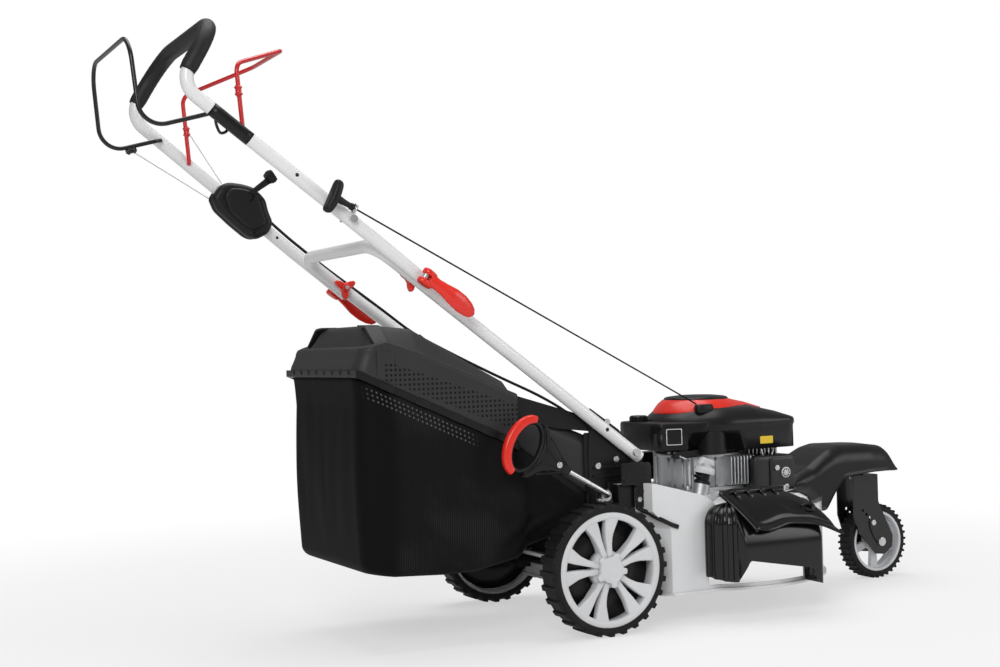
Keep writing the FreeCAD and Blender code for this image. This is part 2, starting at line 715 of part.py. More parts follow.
def engine_bolt_places():
    return [(s.crank_x + dx, dy) for dx in (-82, 82) for dy in (-82, 82)]


def fender_bolt_places():
    nose = s.crank_x + s.deck_radius
    return [(nose - 52, -42), (nose - 52, 42)]


def bracket_bolt_places():
    return [(s.deck_rear_x + dx, side * (s.bracket_inner - 12)) for dx in (30, 58) for side in (1, -1)]


def make_tunnel():
    """The duct from the deck's rear opening up to the mouth of the grass bag."""
    front, rear = s.deck_rear_x - s.seat_gap, s.bag_front_x + 2

    def ring(x, y_low, y_high, z_low, z_high):
        corners = [V(x, y_low, z_low), V(x, y_high, z_low), V(x, y_high, z_high), V(x, y_low, z_high)]
        return Part.makePolygon(corners + corners[:1])

    wall = s.sheet_wall
    low, high = s.deck_bottom + 56, s.deck_bottom + 218
    mouth_low, mouth_high = s.deck_bottom + 160, s.flap_axis_z - 24
    middle = (front + rear) / 2 + 2
    outside = [(front, -34, 168, low, high), (middle, -50, 168, low + 80, high + 40),
               (rear, -164, 168, mouth_low, mouth_high)]
    inside = [(x, y0 + wall, y1 - wall, z0 + wall, z1 - wall) for x, y0, y1, z0, z1 in outside]
    inside[0] = (front + 1,) + inside[0][1:]
    inside[-1] = (rear - 1,) + inside[-1][1:]
    outer = Part.makeLoft([ring(*one) for one in outside], True, True)
    inner = Part.makeLoft([ring(*one) for one in inside], True, True)
    return feature("discharge_tunnel", outer.cut(inner))


def make_side_brackets():
    """Two pressed plates: they carry the handle, the rear flap and the height adjuster."""
    foot_z = s.hump_top + s.seat_gap
    rear, front = s.bag_front_x + 2, s.deck_rear_x + 73
    outline = [
        (front, foot_z), (front, foot_z + 48), (front - 53, foot_z + 106), (rear + 8, foot_z + 150),
        (rear - 10, foot_z + 148), (rear - 14, foot_z + 138), (rear + 4, foot_z + 110), (rear, foot_z + 60),
        (rear, s.pivot_z + 90), (rear + 14, s.pivot_z + 64), (rear + 14, s.pivot_z - 16),
        (rear + 20, s.pivot_z - 22), (s.deck_rear_x - 1, s.pivot_z - 22),
        (s.deck_rear_x - 1, foot_z),
    ]
    holes = [(s.pivot_x, s.pivot_z, s.pivot_radius), (s.flap_axis_x, s.flap_axis_z, s.hinge_rod_radius)]
    holes += [(spot.x, spot.z, 4) for spot in handle_hole_places()]
    plates = []
    for _, side in SIDES:
        near, far = side * s.bracket_inner, side * (s.bracket_inner + s.bracket_wall)
        plate = prism_y(outline, min(near, far), max(near, far))
        foot_y = side * (s.bracket_inner - 24)
        foot = Part.makeBox(70, 24, s.bracket_wall, V(s.deck_rear_x + 2, min(foot_y, near), foot_z))
        ridge_far = side * (s.bracket_inner + s.bracket_wall + 3)
        ridges = []
        for z in (foot_z + 14, foot_z + 30):
            ridge = [(rear + 10, z), (front - 6, z), (front - 6, z + 5), (rear + 10, z + 5)]
            ridges.append(prism_y(ridge, min(far, ridge_far), max(far, ridge_far)))
        plate = fused([plate, foot] + ridges)
        for x, z, radius in holes:
            hole = Part.makeCylinder(radius + s.running_gap, 60, V(x, side * s.bracket_inner - 30, z), AXIS_Y)
            plate = plate.cut(hole)
        plates.append(plate)
    return feature("side_brackets", Part.makeCompound(plates))


def handle_hole_places():
    """The holes that pin the lower handle to the side brackets; only the first has its bolt."""
    return [on_lower(18 - s.lower_leg), on_lower(98 - s.lower_leg)]


# ---------------------------------------------------------------------------------------
# Height adjuster
# ---------------------------------------------------------------------------------------
def make_height_adjuster():
    """Cross tube, swing arms, axle gearbox, lever and its loop grip."""
    arm_low, arm_high = s.deck_waist + 4, s.deck_waist + 9
    tube_half = arm_high
    parts = [Part.makeCylinder(s.pivot_radius, 2 * tube_half, V(s.pivot_x, -tube_half, s.pivot_z), AXIS_Y)]
    lever_foot = V(s.pivot_x - 17, 0, s.pivot_z + 162)
    for _, side in SIDES:
        low, high = sorted((side * arm_low, side * arm_high))
        arm = [(s.pivot_x + 16, s.pivot_z - 14), (s.pivot_x + 16, s.pivot_z + 14),
               (14, s.wheel_radius + 18), (-16, s.wheel_radius + 18), (-18, s.wheel_radius - 14),
               (s.pivot_x - 10, s.pivot_z - 20)]
        if side < 0:
            arm[1:3] = [(s.pivot_x + 16, s.pivot_z + 20), (lever_foot.x + 13, lever_foot.z + 4),
                        (lever_foot.x + 6, lever_foot.z + 14), (lever_foot.x - 14, lever_foot.z + 8),
                        (lever_foot.x - 16, lever_foot.z - 10), (6, s.wheel_radius + 22)]
        parts.append(prism_y(arm, low, high))
    bore = Part.makeCylinder(s.axle_radius + s.running_gap, 600, V(0, -300, s.wheel_radius), AXIS_Y)
    feature("height_frame", fused(parts).cut(bore))
    # the lever rod starts on the arm, steps out past the wheel and runs up to the loop grip
    out = s.half_track - 17
    start = V(lever_foot.x, -arm_high - 1, lever_foot.z)
    knee = V(lever_foot.x - 2, -out, lever_foot.z + 3)
    neck = V(s.pivot_x - 113, -out, lever_foot.z + 57)
    rod = swept(rounded_path([start, knee, neck], [8]), 5)
    washer = Part.makeCylinder(11, 3, V(lever_foot.x, -arm_high - 3, lever_foot.z), AXIS_Y)
    feature("height_lever", fused([rod, washer]))
    make_height_grip(neck, (neck - knee).normalize(), out)
    # gearbox on the axle, with its belt pulley on top
    gear_y, case = -96, 28
    shell = fused([
        Part.makeCylinder(case, 62, V(0, gear_y - 31, s.wheel_radius), AXIS_Y),
        Part.makeCylinder(14, BELT_Z - s.wheel_radius, V(0, gear_y, s.wheel_radius), AXIS_Z),
        Part.makeCylinder(12, 92, V(0, gear_y - 46, s.wheel_radius), AXIS_Y),
    ]).cut(bore)
    pulley = belt_pulley(V(0, gear_y, BELT_Z), 30)
    feature("gearbox", fused([shell, pulley]))


def belt_pulley(centre, radius):
    """A flat drum between two flanges, with its axis along Z."""
    drum = Part.makeCylinder(radius, 12, centre - V(0, 0, 6), AXIS_Z)
    flanges = [Part.makeCylinder(radius + 5, 2, centre + V(0, 0, z), AXIS_Z) for z in (-8, 6)]
    return fused([drum] + flanges)


def make_belt():
    """A belt round the crankshaft pulley and the gearbox pulley."""
    ends = ((V(s.crank_x, 0, BELT_Z - 5), 30), (V(0, -96, BELT_Z - 5), 30))

    def around(extra):
        (a, ra), (b, rb) = ends
        ra, rb = ra + extra, rb + extra
        along = b - a
        span = along.Length
        along.normalize()
        lean = math.asin((ra - rb) / span)
        edges = []
        touch = []
        for side in (1, -1):
            turn = FreeCAD.Rotation(AXIS_Z, side * math.degrees(math.pi / 2 - lean))
            normal = turn.multVec(along)
            touch.append((a + normal * ra, b + normal * rb))
        (a1, b1), (a2, b2) = touch
        edges.append(Part.LineSegment(a1, b1).toShape())
        edges.append(Part.Arc(b1, b + along * rb, b2).toShape())
        edges.append(Part.LineSegment(b2, a2).toShape())
        edges.append(Part.Arc(a2, a - along * ra, a1).toShape())
        return Part.Face(Part.Wire(edges)).extrude(V(0, 0, 10))

    return feature("drive_belt", around(4.5).cut(around(0.2)))


def make_height_grip(rod_end, along, out):
    """A loop grip: a straight inner bar, a curved outer bar and a body that narrows to the rod."""
    across = V(along.z, 0, -along.x)
    neck = rod_end - along * 16.4
    base = neck + along * 94

    def arc(start, depth, half):
        turns = [math.pi * i / 14 for i in range(15)]
        return [base + along * (start + depth * math.sin(turn)) + across * (half * math.cos(turn))
                for turn in turns]

    outer_wire = [neck + across * 13, base + across * 64 - along * 6] + arc(0, 62, 64)[1:-1]
    outer_wire += [base - across * 64 - along * 6, neck - across * 13, neck - across * 10 - along * 14,
                   neck + across * 10 - along * 14]
    inner = arc(6, 42, 48)
    thick = 20

    def plate(points, depth):
        shifted = [V(p.x, -out - depth / 2, p.z) for p in points]
        return Part.Face(Part.makePolygon(shifted + shifted[:1])).extrude(V(0, depth, 0))

    grip = plate(outer_wire, thick).cut(plate(inner, thick + 10))
    bore = bar_between(neck - along * 20, rod_end + along * s.seat_gap, 5 + s.running_gap)
    return feature("height_grip", grip.cut(bore))


# ---------------------------------------------------------------------------------------
# Engine
# ---------------------------------------------------------------------------------------
def make_engine():
    base = s.deck_top
    at = V(s.crank_x, 0, 0)
    flange = Part.makeBox(184, 184, 12, at + V(-92, -92, base))
    case = Part.makeCylinder(s.case_radius, s.case_top - base, at + V(0, 0, base), AXIS_Z)
    low_boss = Part.makeCylinder(40, 22, at + V(0, 0, base - 22), AXIS_Z)
    barrel = Part.makeBox(130, 76, s.cover_bottom - base - 14, at + V(40, -38, base + 14))
    fins = [Part.makeBox(4, 116, s.cover_bottom - base - 7, at + V(94 + 10.5 * i, -58, base + 5))
            for i in range(8)]
    neck = Part.makeCylinder(34, 24, at + V(0, 0, s.case_top), AXIS_Z)
    bosses = [Part.makeCylinder(8, s.cover_bottom - base, at + V(dx, dy, base), AXIS_Z)
              for dx, dy in COVER_POSTS]
    seat, tilt = oil_seat()
    filler_boss = Part.makeCylinder(18, 40, seat - tilt * 40, tilt)
    filler_boss = filler_boss.common(Part.makeBox(90, 90, 60, seat - V(45, 45, seat.z - base)))
    block = fused([flange, case, low_boss, barrel, neck, filler_boss] + fins + bosses)
    crank_bore = Part.makeCylinder(s.shaft_radius + s.running_gap, 300, at + V(0, 0, base - 60), AXIS_Z)
    block = block.cut(crank_bore)
    for x, y in engine_bolt_places():
        block = block.cut(Part.makeCylinder(4 + s.running_gap, 60, V(x, y, base - 20), AXIS_Z))
    head_x = s.crank_x + 170
    block = block.cut(Part.makeCylinder(5 + s.running_gap, 26, V(head_x + 7, 0, base + 52), V(-1, 0, 0)))
    feature("engine_block", block)
    # spark plug in the head, with its boot
    plug = [Part.makeCylinder(5, 20, V(head_x, 0, base + 52), V(-1, 0, 0)).translate(V(5, 0, 0)),
            Part.makeCylinder(9, 8, V(head_x + 5, 0, base + 52), AXIS_X),
            Part.makeCylinder(6, 6, V(head_x + 13, 0, base + 52), AXIS_X)]
    boot = [Part.makeCylinder(9, 16, V(head_x + 15, 0, base + 52), AXIS_X),
            Part.makeCylinder(5, 22, V(head_x + 25, 0, base + 52), AXIS_Z)]
    hole = Part.makeCylinder(6 + s.running_gap, 6.3, V(head_x + 13, 0, base + 52), AXIS_X)
    feature("spark_plug", Part.makeCompound([fused(plug), fused(boot).cut(hole)]))
    make_covers(at)
    make_fuel_and_air(at)
    make_oil_filler()
    make_muffler()
    make_crank()


def cover_ring(inset, z):
    """The cover's plan outline: a box with large round corners, drawn in by an inset."""
    radius = 74.0 - inset * 0.8
    x0, x1 = s.cover_rear_x + inset, s.cover_front_x - inset
    y1 = s.cover_half - inset
    edges = []
    corners = [(x1, y1, 1, 1), (x0, y1, -1, 1), (x0, -y1, -1, -1), (x1, -y1, 1, -1)]
    bulge = radius * (1 - math.sqrt(0.5))
    arcs = []
    for x, y, sx, sy in corners:
        ends = [V(x, y - sy * radius, z), V(x - sx * radius, y, z)]
        if sx * sy < 0:
            ends.reverse()
        arcs.append((ends[0], V(x - sx * bulge, y - sy * bulge, z), ends[1]))
    for index, (start, middle, end) in enumerate(arcs):
        edges.append(Part.Arc(start, middle, end).toShape())
        edges.append(Part.LineSegment(end, arcs[(index + 1) % 4][0]).toShape())
    return Part.Wire(edges)


def make_covers(at):
    wall = s.cover_wall
    rings = ((0, s.cover_bottom), (0, s.cover_shoulder), (24, s.cover_top))
    outer = Part.makeLoft([cover_ring(*one) for one in rings], True, True)
    inner_rings = ((wall, s.cover_bottom - 1), (wall, s.cover_shoulder - wall * 0.4),
                   (24 + wall, s.cover_top - wall))
    inner = Part.makeLoft([cover_ring(*one) for one in inner_rings], True, True)
    mouth = Part.makeCylinder(s.cap_radius - 8, 60, at + V(0, 0, s.cover_top - 30), AXIS_Z)
    arch = Part.makeBox(118, 60, 32, at + V(-28, -s.cover_half - 30, s.cover_bottom - 1))
    posts = [Part.makeCylinder(7, s.cover_top - s.cover_bottom, at + V(dx, dy, s.cover_bottom + s.seat_gap),
                               AXIS_Z) for dx, dy in COVER_POSTS]
    held = [post.common(outer).cut(mouth) for post in posts]
    feature("engine_cover", fused([outer.cut(inner).cut(mouth).cut(arch)] + held))
    # red trim: a ring round the starter cap that runs out to a nose in front
    z0, z1 = s.cover_top, s.cover_top + 9
    ring_in, ring_out = s.cap_radius + s.seat_gap, s.cap_radius + 18

    def teardrop(radius, nose_radius, nose_dx, low, high):
        round_part = Part.makeCylinder(radius, high - low, at + V(0, 0, low), AXIS_Z)
        nose = Part.makeCylinder(nose_radius, high - low, at + V(nose_dx, 0, low), AXIS_Z)
        lean = math.acos((radius - nose_radius) / nose_dx)
        touch = [(radius * math.cos(lean), radius * math.sin(lean)),
                 (nose_dx + nose_radius * math.cos(lean), nose_radius * math.sin(lean))]
        outline = [(at.x + x, y) for x, y in touch] + [(at.x + x, -y) for x, y in reversed(touch)]
        return fused([round_part, nose, prism_z(outline, low, high)])

    trim = teardrop(ring_out, 44, 122, z0, z1)
    trim = trim.cut(Part.makeCylinder(ring_in, 40, at + V(0, 0, z0 - 5), AXIS_Z))
    trim = trim.cut(Part.makeBox(46, 82, 30, at + V(-86, -ring_out - 30, z0 - 5)))
    feature("cover_trim", trim)
    # starter housing: a shallow cap with louvres round it
    cap = new_body("recoil_cap")
    revolve(cap, "XZ_Plane", [
        ("0", "cap_top"), ("cap_radius - 30", "cap_top"), ("cap_radius - 4", "cap_top - 6"),
        ("cap_radius", "cover_top + 6"), ("cap_radius", "cover_top"),
        ("cap_radius - 8 - seat_gap", "cover_top"), ("cap_radius - 8 - seat_gap", "cover_top - 10"),
        ("cap_radius - 12", "cover_top - 10"), ("cap_radius - 12", "cap_top - 10"), ("0", "cap_top - 4"),
    ])
    slot = sketch_on(cap, "XY_Plane")
    draw_outline(slot, [("30", "-3"), ("cap_radius - 22", "-4"), ("cap_radius - 22", "4"), ("30", "3")])
    louvre = cut_through(cap, slot)
    repeat_round(cap, [louvre], "Z_Axis", "16")
    place(cap, "crank_x", "0", "0")
    # flywheel with its fan blades
    wheel = new_body("flywheel")
    revolve(wheel, "XZ_Plane", [
        ("shaft_radius + running_gap", "case_top + 26"), ("62", "case_top + 26"), ("62", "case_top + 22"),
        ("74", "case_top + 22"), ("74", "case_top + 44"), ("62", "case_top + 44"), ("62", "case_top + 34"),
        ("shaft_radius + running_gap", "case_top + 38"),
    ])
    fan = sketch_on(wheel, "XY_Plane", "case_top + 40")
    draw_outline(fan, [("40", "-1.5"), ("72", "-1.5"), ("72", "1.5"), ("40", "1.5")])
    one = pad(wheel, fan, "18")
    base_disc = sketch_on(wheel, "XY_Plane", "case_top + 34")
    draw_circle(base_disc, "60")
    draw_circle(base_disc, "30")
    pad(wheel, base_disc, "8")
    repeat_round(wheel, [one], "Z_Axis", "16")
    place(wheel, "crank_x", "0", "0")


def make_fuel_and_air(at):
    """Fuel tank behind the cover, its cap, the carburettor and the air filter."""
    tank = box("tank_block", "cover_rear_x - 0.5 - (crank_x - 152)", "150", "58",
               "crank_x - 152", "-75", "case_top + 12")
    rounded("fuel_tank", tank, 14, lambda edge: abs(edge.tangentAt(edge.FirstParameter).z) > 0.9)
    cap = new_body("fuel_cap")
    revolve(cap, "XZ_Plane", [("0", "0.3"), ("20", "0.3"), ("20", "10"), ("16", "13"), ("0", "13")])
    grip = sketch_on(cap, "XY_Plane")
    draw_circle(grip, "4", "22", "0")
    notch = cut_through(cap, grip)
    repeat_round(cap, [notch], "Z_Axis", "10")
    place(cap, "crank_x - 124", "38", "case_top + 70")
    carb = [Part.makeBox(34, 20, 34, at + V(-54, s.case_radius - 18, s.case_top - 46)),
            Part.makeCylinder(13, 34, at + V(-37, s.case_radius - 29.8, s.case_top - 29), AXIS_Y)]
    block = Part.makeCylinder(s.case_radius + s.seat_gap, 200, at + V(0, 0, s.deck_top), AXIS_Z)
    feature("carburettor", fused(carb).cut(block))
    filter_box = box("filter_block", "92", "34", "60", "crank_x - 96", "case_radius + 4.5",
                     "case_top - 62")
    rounded("air_filter", filter_box, 8, lambda edge: abs(edge.tangentAt(edge.FirstParameter).y) > 0.9)


def oil_seat():
    """The seat of the oil filler on the crankcase, and the way its neck leans."""
    lean = math.radians(OIL_LEAN)
    return V(s.crank_x - 62, -s.case_radius - 16, s.deck_top + 22), V(math.sin(lean), 0, math.cos(lean))


def make_oil_filler():
    """A filler neck that leans forward on the near side of the crankcase, with its cap."""
    seat, _ = oil_seat()
    neck = new_body("oil_filler_neck")
    revolve(neck, "XZ_Plane", [("9", "seat_gap"), ("17", "seat_gap"), ("17", "6"), ("13", "9"),
                               ("13", "22"), ("9", "22")])
    place(neck, "%g" % seat.x, "%g" % seat.y, "%g" % seat.z, AXIS_Y, OIL_LEAN)
    cap = new_body("oil_cap")
    revolve(cap, "XZ_Plane", [("0", "10"), ("8.9", "10"), ("8.9", "22.3"), ("22", "22.3"), ("23", "28"),
                              ("21", "36"), ("0", "36")])
    wing = sketch_on(cap, "XZ_Plane")
    draw_outline(wing, [("-18", "34"), ("18", "34"), ("15", "48"), ("-15", "48")])
    pad(cap, wing, "9", middle=True)
    place(cap, "%g" % seat.x, "%g" % seat.y, "%g" % seat.z, AXIS_Y, OIL_LEAN)


def make_muffler():
    """A pressed box beside the cylinder, with its perforated outlet and two bolts."""
    block = box("muffler_block", "116", "70", "56", "crank_x + 62", "-136", "deck_top + 19")
    soft = rounded("muffler_shell", block, 8, lambda edge: True)
    pipe = cylinder("muffler_pipe", "14", "11.7", "crank_x + 120", "-70", "deck_top + 48", AXIS_X, -90)
    outlet = cylinder("muffler_outlet", "11", "5", "crank_x + 150", "-140", "deck_top + 44", AXIS_X, -90)
    heads = []
    for index, (x, z) in enumerate((("crank_x + 128", "deck_top + 62"), ("crank_x + 162", "deck_top + 28"))):
        heads.append(cylinder("muffler_head_%d" % index, "5", "5", x, "-140", z, AXIS_X, -90))
    return fuse("muffler", [soft, pipe, outlet] + heads)


def make_crank():
    """Crankshaft, blade adapter with the belt pulley, blade and its bolt."""
    shaft = new_body("crankshaft")
    revolve(shaft, "XZ_Plane", [
        ("0", "blade_z + 8"), ("shaft_radius", "blade_z + 8"), ("shaft_radius", "case_top + 48"),
        ("7", "case_top + 52"), ("0", "case_top + 52"),
    ])
    place(shaft, "crank_x", "0", "0")
    low = s.blade_z + 5
    at = V(s.crank_x, 0, 0)
    adapter = fused([Part.makeCylinder(34, 8, at + V(0, 0, low), AXIS_Z),
                     Part.makeCylinder(20, BELT_Z - low, at + V(0, 0, low), AXIS_Z),
                     belt_pulley(at + V(0, 0, BELT_Z), 30)])
    adapter = adapter.cut(Part.makeCylinder(s.shaft_radius, 200, at + V(0, 0, low + 3), AXIS_Z))
    adapter = adapter.cut(Part.makeCylinder(5 + s.running_gap, 40, at + V(0, 0, low - 5), AXIS_Z))
    feature("blade_adapter", adapter)
    half, wide = s.blade_half, 29
    flat = Part.makeBox(2 * half, 2 * wide, 4.5, V(-half, -wide, 0))
    tips = fused([Part.makeCylinder(half, 60, V(0, 0, -20), AXIS_Z)])
    blade = flat.common(tips)
    for side in (1, -1):
        wing = prism_x([(0, 4.5), (-side * 24, 4.5), (-side * 29, 20), (-side * 26, 22), (-side * 21, 8),
                        (0, 8)], 0, 74)
        wing = wing.translate(V(half - 88 if side > 0 else 14 - half, 0, 0))
        blade = blade.fuse(wing.common(Part.makeCylinder(half, 60, V(0, 0, -20), AXIS_Z)))
    blade = blade.cut(Part.makeCylinder(5 + s.running_gap, 40, V(0, 0, -10), AXIS_Z)).removeSplitter()
    blade.translate(at + V(0, 0, s.blade_z))
    feature("blade", blade)
    bolt = [Part.makeCylinder(5, 3 + 4.5 + 0.5, at + V(0, 0, s.blade_z), AXIS_Z),
            Part.makeCylinder(15, 2.5, at + V(0, 0, s.blade_z - 2.5), AXIS_Z),
            Part.makeCylinder(9, 7, at + V(0, 0, s.blade_z - 9.5), AXIS_Z)]
    feature("blade_bolt", fused(bolt))


# ---------------------------------------------------------------------------------------
# Grass bag
# ---------------------------------------------------------------------------------------
def band_z(x):
    """Height of the joint between lid and bag: it falls to the mouth, steeper in front."""
    rear_z, knee_x, knee_z, mouth_z = 521.0, -172.0, 386.0, 266.0
    if x < knee_x:
        return knee_z + (rear_z - knee_z) * (x - knee_x) / (s.bag_rear_x - knee_x)
    return knee_z + (mouth_z - knee_z) * (x - knee_x) / (s.bag_front_x - knee_x)


def make_grass_bag():
    neck = s.flap_half - s.seat_gap
    half = s.bag_half
    rear, front, wall = s.bag_rear_x, s.bag_front_x, s.bag_wall
    knee = -172.0
    step = -150.0

    def lid_station(x, half_low, half_top, crease, top):
        return (x, half_low, half_top, band_z(x), crease, top)

    lid_stations = [
        lid_station(rear, half - 26, 118, band_z(rear) + 26, band_z(rear) + 40),
        lid_station(rear + 16, half - 4, 124, 552, 592),
        lid_station(rear + 60, half, 128, 566, 602),
        lid_station(rear + 136, half, 120, 540, 594),
        lid_station(knee, half, 116, 470, 502),
        lid_station(step, half, 116, 461, 490),
    ]
    lid = channel(lid_stations, wall, close_rear=wall, reach=2)
    neck_stations = [
        lid_station(step - 1, neck, 120, 440, 446),
        lid_station(front, neck, 120, s.flap_axis_z - 24, s.flap_axis_z - 22),
    ]
    neck_shell = channel(neck_stations, wall, reach=2)
    filler_stations = [lid_station(x, half, 116, 461, 490) for x in (step - wall, step)]
    filler = Part.makeLoft([section(*one) for one in filler_stations], True, True)
    doorway = Part.makeLoft([section(*one) for one in (
        lid_station(step - 9, neck - wall, 116, 434, 442),
        lid_station(step + 9, neck - wall, 116, 434, 442))], True, True)
    doorway = doorway.fuse(Part.makeBox(24, 2 * (neck - wall), 60, V(step - 12, wall - neck, band_z(step) - 50)))
    feature("bag_lid", fused([lid, filler.cut(doorway), neck_shell.cut(
        Part.makeBox(8, 400, 400, V(step - 8, -200, 200)))]))
    # frame band: a strip round both sides and the rear, under the lid
    def band_outline(drop_top, drop_low, x0, x1):
        return [(x0, band_z(x0) - drop_top), (knee, band_z(knee) - drop_top), (x1, band_z(x1) - drop_top),
                (x1, band_z(x1) - drop_low), (knee, band_z(knee) - drop_low), (x0, band_z(x0) - drop_low)]

    height = s.band_height
    outer = prism_y(band_outline(0, height, rear - 2, step), -half - 2, half + 2)
    inner = prism_y(band_outline(-5, height + 5, rear + 4, step - 6), 6 - half, half - 6)
    outer_ring = outer.cut(inner).cut(Part.makeBox(20, 2 * (neck - wall), 200,
                                                   V(step - 12, wall - neck, band_z(step) - 100)))
    neck_part = prism_y([(x, band_z(x) - drop) for x, drop in (
        (step, 0), (front, 0), (front, height), (step, height))], -neck, neck)
    neck_part = neck_part.cut(prism_y([(x, band_z(x) - drop) for x, drop in (
        (step - 1, -5), (front + 1, -5), (front + 1, height + 5), (step - 1, height + 5))],
        wall - neck, neck - wall))
    feature("bag_frame", fused([outer_ring, neck_part]))
    make_bag_fabric(neck, step)


def make_bag_fabric(neck, step):
    """The soft bag: an open tub whose rim follows the frame band."""
    rear, front, wall = s.bag_rear_x, s.bag_front_x, s.bag_wall
    half = s.bag_half - 2
    low = s.bag_bottom
    drop = s.band_height

    def ring(x, half_top, half_low, floor, extra=0.0):
        top = band_z(x) - drop + extra
        side = [V(x, -half_top, top), V(x, -half_low, floor + 34), V(x, -half_low + 30, floor)]
        points = side + [mirrored_y(p) for p in reversed(side)]
        return Part.makePolygon(points + points[:1])

    stations = [
        (rear + 2, half - 14, half - 12, low + 20),
        (rear + 16, half, half - 2, low + 14),
        (rear + 70, half, half, low + 4),
        (rear + 170, half, half, low),
        (-240, half, half, low + 1),
        (step, half - 4, half - 6, low + 18),
        (step + 26, neck, neck - 2, low + 34),
        (front, neck, neck - 2, band_z(front) - drop - 46),
    ]
    outer = Part.makeLoft([ring(*one) for one in stations], True, True)
    inset = [(x, top - wall, bottom - wall, floor + wall, 3.0) for x, top, bottom, floor in stations]
    inset[0] = (inset[0][0] + wall,) + inset[0][1:]
    inset[-1] = (inset[-1][0] - wall,) + inset[-1][1:]
    inner = Part.makeLoft([ring(*one) for one in inset], True, True)
    return feature("bag_fabric", outer.cut(inner))


# ---------------------------------------------------------------------------------------
# Flaps and side chute
# ---------------------------------------------------------------------------------------
def make_rear_flap():
    """The door over the bag's mouth: a sloping panel with cheeks, hung on a rod."""
    x0, z0 = s.flap_axis_x, s.flap_axis_z
    wall = s.sheet_wall
    top = [(x0 - 6, z0 + 2), (-147, 464), (-147, 464 - wall), (x0 - 6, z0 + 2 - wall)]
    panel = prism_y(top, -s.flap_half, s.flap_half)
    cheeks = []
    for side in (1, -1):
        low, high = sorted((side * s.flap_half, side * (s.flap_half + wall)))
        outline = [(x0 - 4, z0 - 8), (x0 + 4, z0 + 3), (-147, 464), (-147, 424), (-60, 396),
                   (x0 - 16, z0 - 18)]
        cheeks.append(prism_y(outline, low, high))
    barrel = Part.makeCylinder(7, 2 * (s.flap_half + wall), V(x0, -s.flap_half - wall, z0), AXIS_Y)
    flap = fused([panel, barrel] + cheeks)
    bore = Part.makeCylinder(s.hinge_rod_radius + s.running_gap, 500, V(x0, -250, z0), AXIS_Y)
    return feature("rear_flap", flap.cut(bore))


def chute_outline(inset):
    """The side chute across the mower: down from the deck's edge to its outer face."""
    y0 = s.deck_side + 6.5
    out = s.chute_out - inset
    return [(-y0, s.deck_top - 7 - inset), (-y0 - 16, s.deck_top - 10 - inset), (-out + 14, s.deck_top - 48),
            (-out, s.deck_top - 76), (-out, s.deck_bottom + 20), (-y0, s.deck_bottom + 20)]


def make_side_chute():
    """A ribbed hood over the side discharge opening, open towards the ground."""
    x0, x1, wall = s.chute_rear_x, s.chute_front_x, s.sheet_wall
    outer = prism_x(chute_outline(0), x0, x1)
    inner = prism_x(chute_outline(wall), x0 + wall, x1 - wall)
    inner = inner.fuse(Part.makeBox(x1 - x0 - 2 * wall, 90, 110,
                                    V(x0 + wall, -s.chute_out + wall - 30, s.deck_bottom - 42)))
    ribs = []
    for i in range(4):
        x = x0 + 4 + 11 * i
        rib = prism_x([(y - (1.6 if y < -s.deck_side - 20 else 0), z + (1.6 if z > 150 else 0))
                       for y, z in chute_outline(0)], x, x + 5)
        ribs.append(rib.cut(prism_x(chute_outline(wall * 0.5), x - 1, x + 6)))
    chute = fused([outer] + ribs).cut(inner)
    beyond = Part.makeCylinder(s.deck_radius + 6 + s.seat_gap, 400, V(s.crank_x, 0, 0), AXIS_Z)
    return feature("side_chute", chute.cut(beyond))


def side_hinge_ends():
    """Where the side flap's hinge barrel starts and ends along the mower."""
    return s.chute_rear_x + 32, s.chute_rear_x + 190


def make_side_flap():
    """The deflector over the side chute: a fan-shaped sheet hung along the deck's edge."""
    x0, x1 = side_hinge_ends()
    y0, z0 = -s.side_axis_y, s.side_axis_z
    lean = math.atan2(s.side_axis_z - s.deck_top + 37, s.chute_out - 14 - s.side_axis_y)
    out = V(0, -math.cos(lean), -math.sin(lean))
    up = V(0, -math.sin(lean), math.cos(lean))
    origin = V(x0, y0, z0)
    fan = [(5, 8), (46, 100), (81, 104), (122, 95), (193, 104), (237, 132), (228, 101), (218, 68),
           (186, 29), (x1 - x0 - 5, 8)]
    ring = [origin + AXIS_X * x + out * d for x, d in fan]
    sheet = Part.Face(Part.makePolygon(ring + ring[:1])).extrude(up * s.sheet_wall)
    edge = [origin + AXIS_X * x + out * d + up * (s.sheet_wall / 2) for x, d in fan]
    rims = [bar_between(edge[0], edge[1], 5)]
    rims += [bar_between(a, b, 3.2) for a, b in zip(edge[1:], edge[2:])]
    knots = [Part.makeSphere(3.2, spot) for spot in edge[2:-1]] + [Part.makeSphere(5, edge[1])]
    barrel = Part.makeCylinder(7, x1 - x0, V(x0, y0, z0), AXIS_X)
    flap = fused([sheet, barrel] + rims + knots)
    bore = Part.makeCylinder(s.hinge_rod_radius + s.running_gap, 300, V(x0 - 60, y0, z0), AXIS_X)
    return feature("side_flap", flap.cut(bore))


def hinge_rods():
    """The steel rods of both flaps, with the side flap's two ears."""
    half = s.bracket_inner + s.bracket_wall - s.seat_gap
    rear = Part.makeCylinder(s.hinge_rod_radius, 2 * half, V(s.flap_axis_x, -half, s.flap_axis_z), AXIS_Y)
    x0, x1 = side_hinge_ends()
    y0, z0 = -s.side_axis_y, s.side_axis_z
    side = [Part.makeCylinder(s.hinge_rod_radius, x1 - x0 + 14, V(x0 - 7, y0, z0), AXIS_X)]
    for x in (x0 - 6, x1 + 1):
        foot = s.deck_top + s.seat_gap
        ear = [(y0 - 6, z0 + 6), (y0 + 6, z0 + 6), (y0 + 32, foot), (y0 + 12, foot), (y0 - 6, z0 - 4)]
        side.append(prism_x(ear, x, x + 5))
    return [rear, fused(side)]


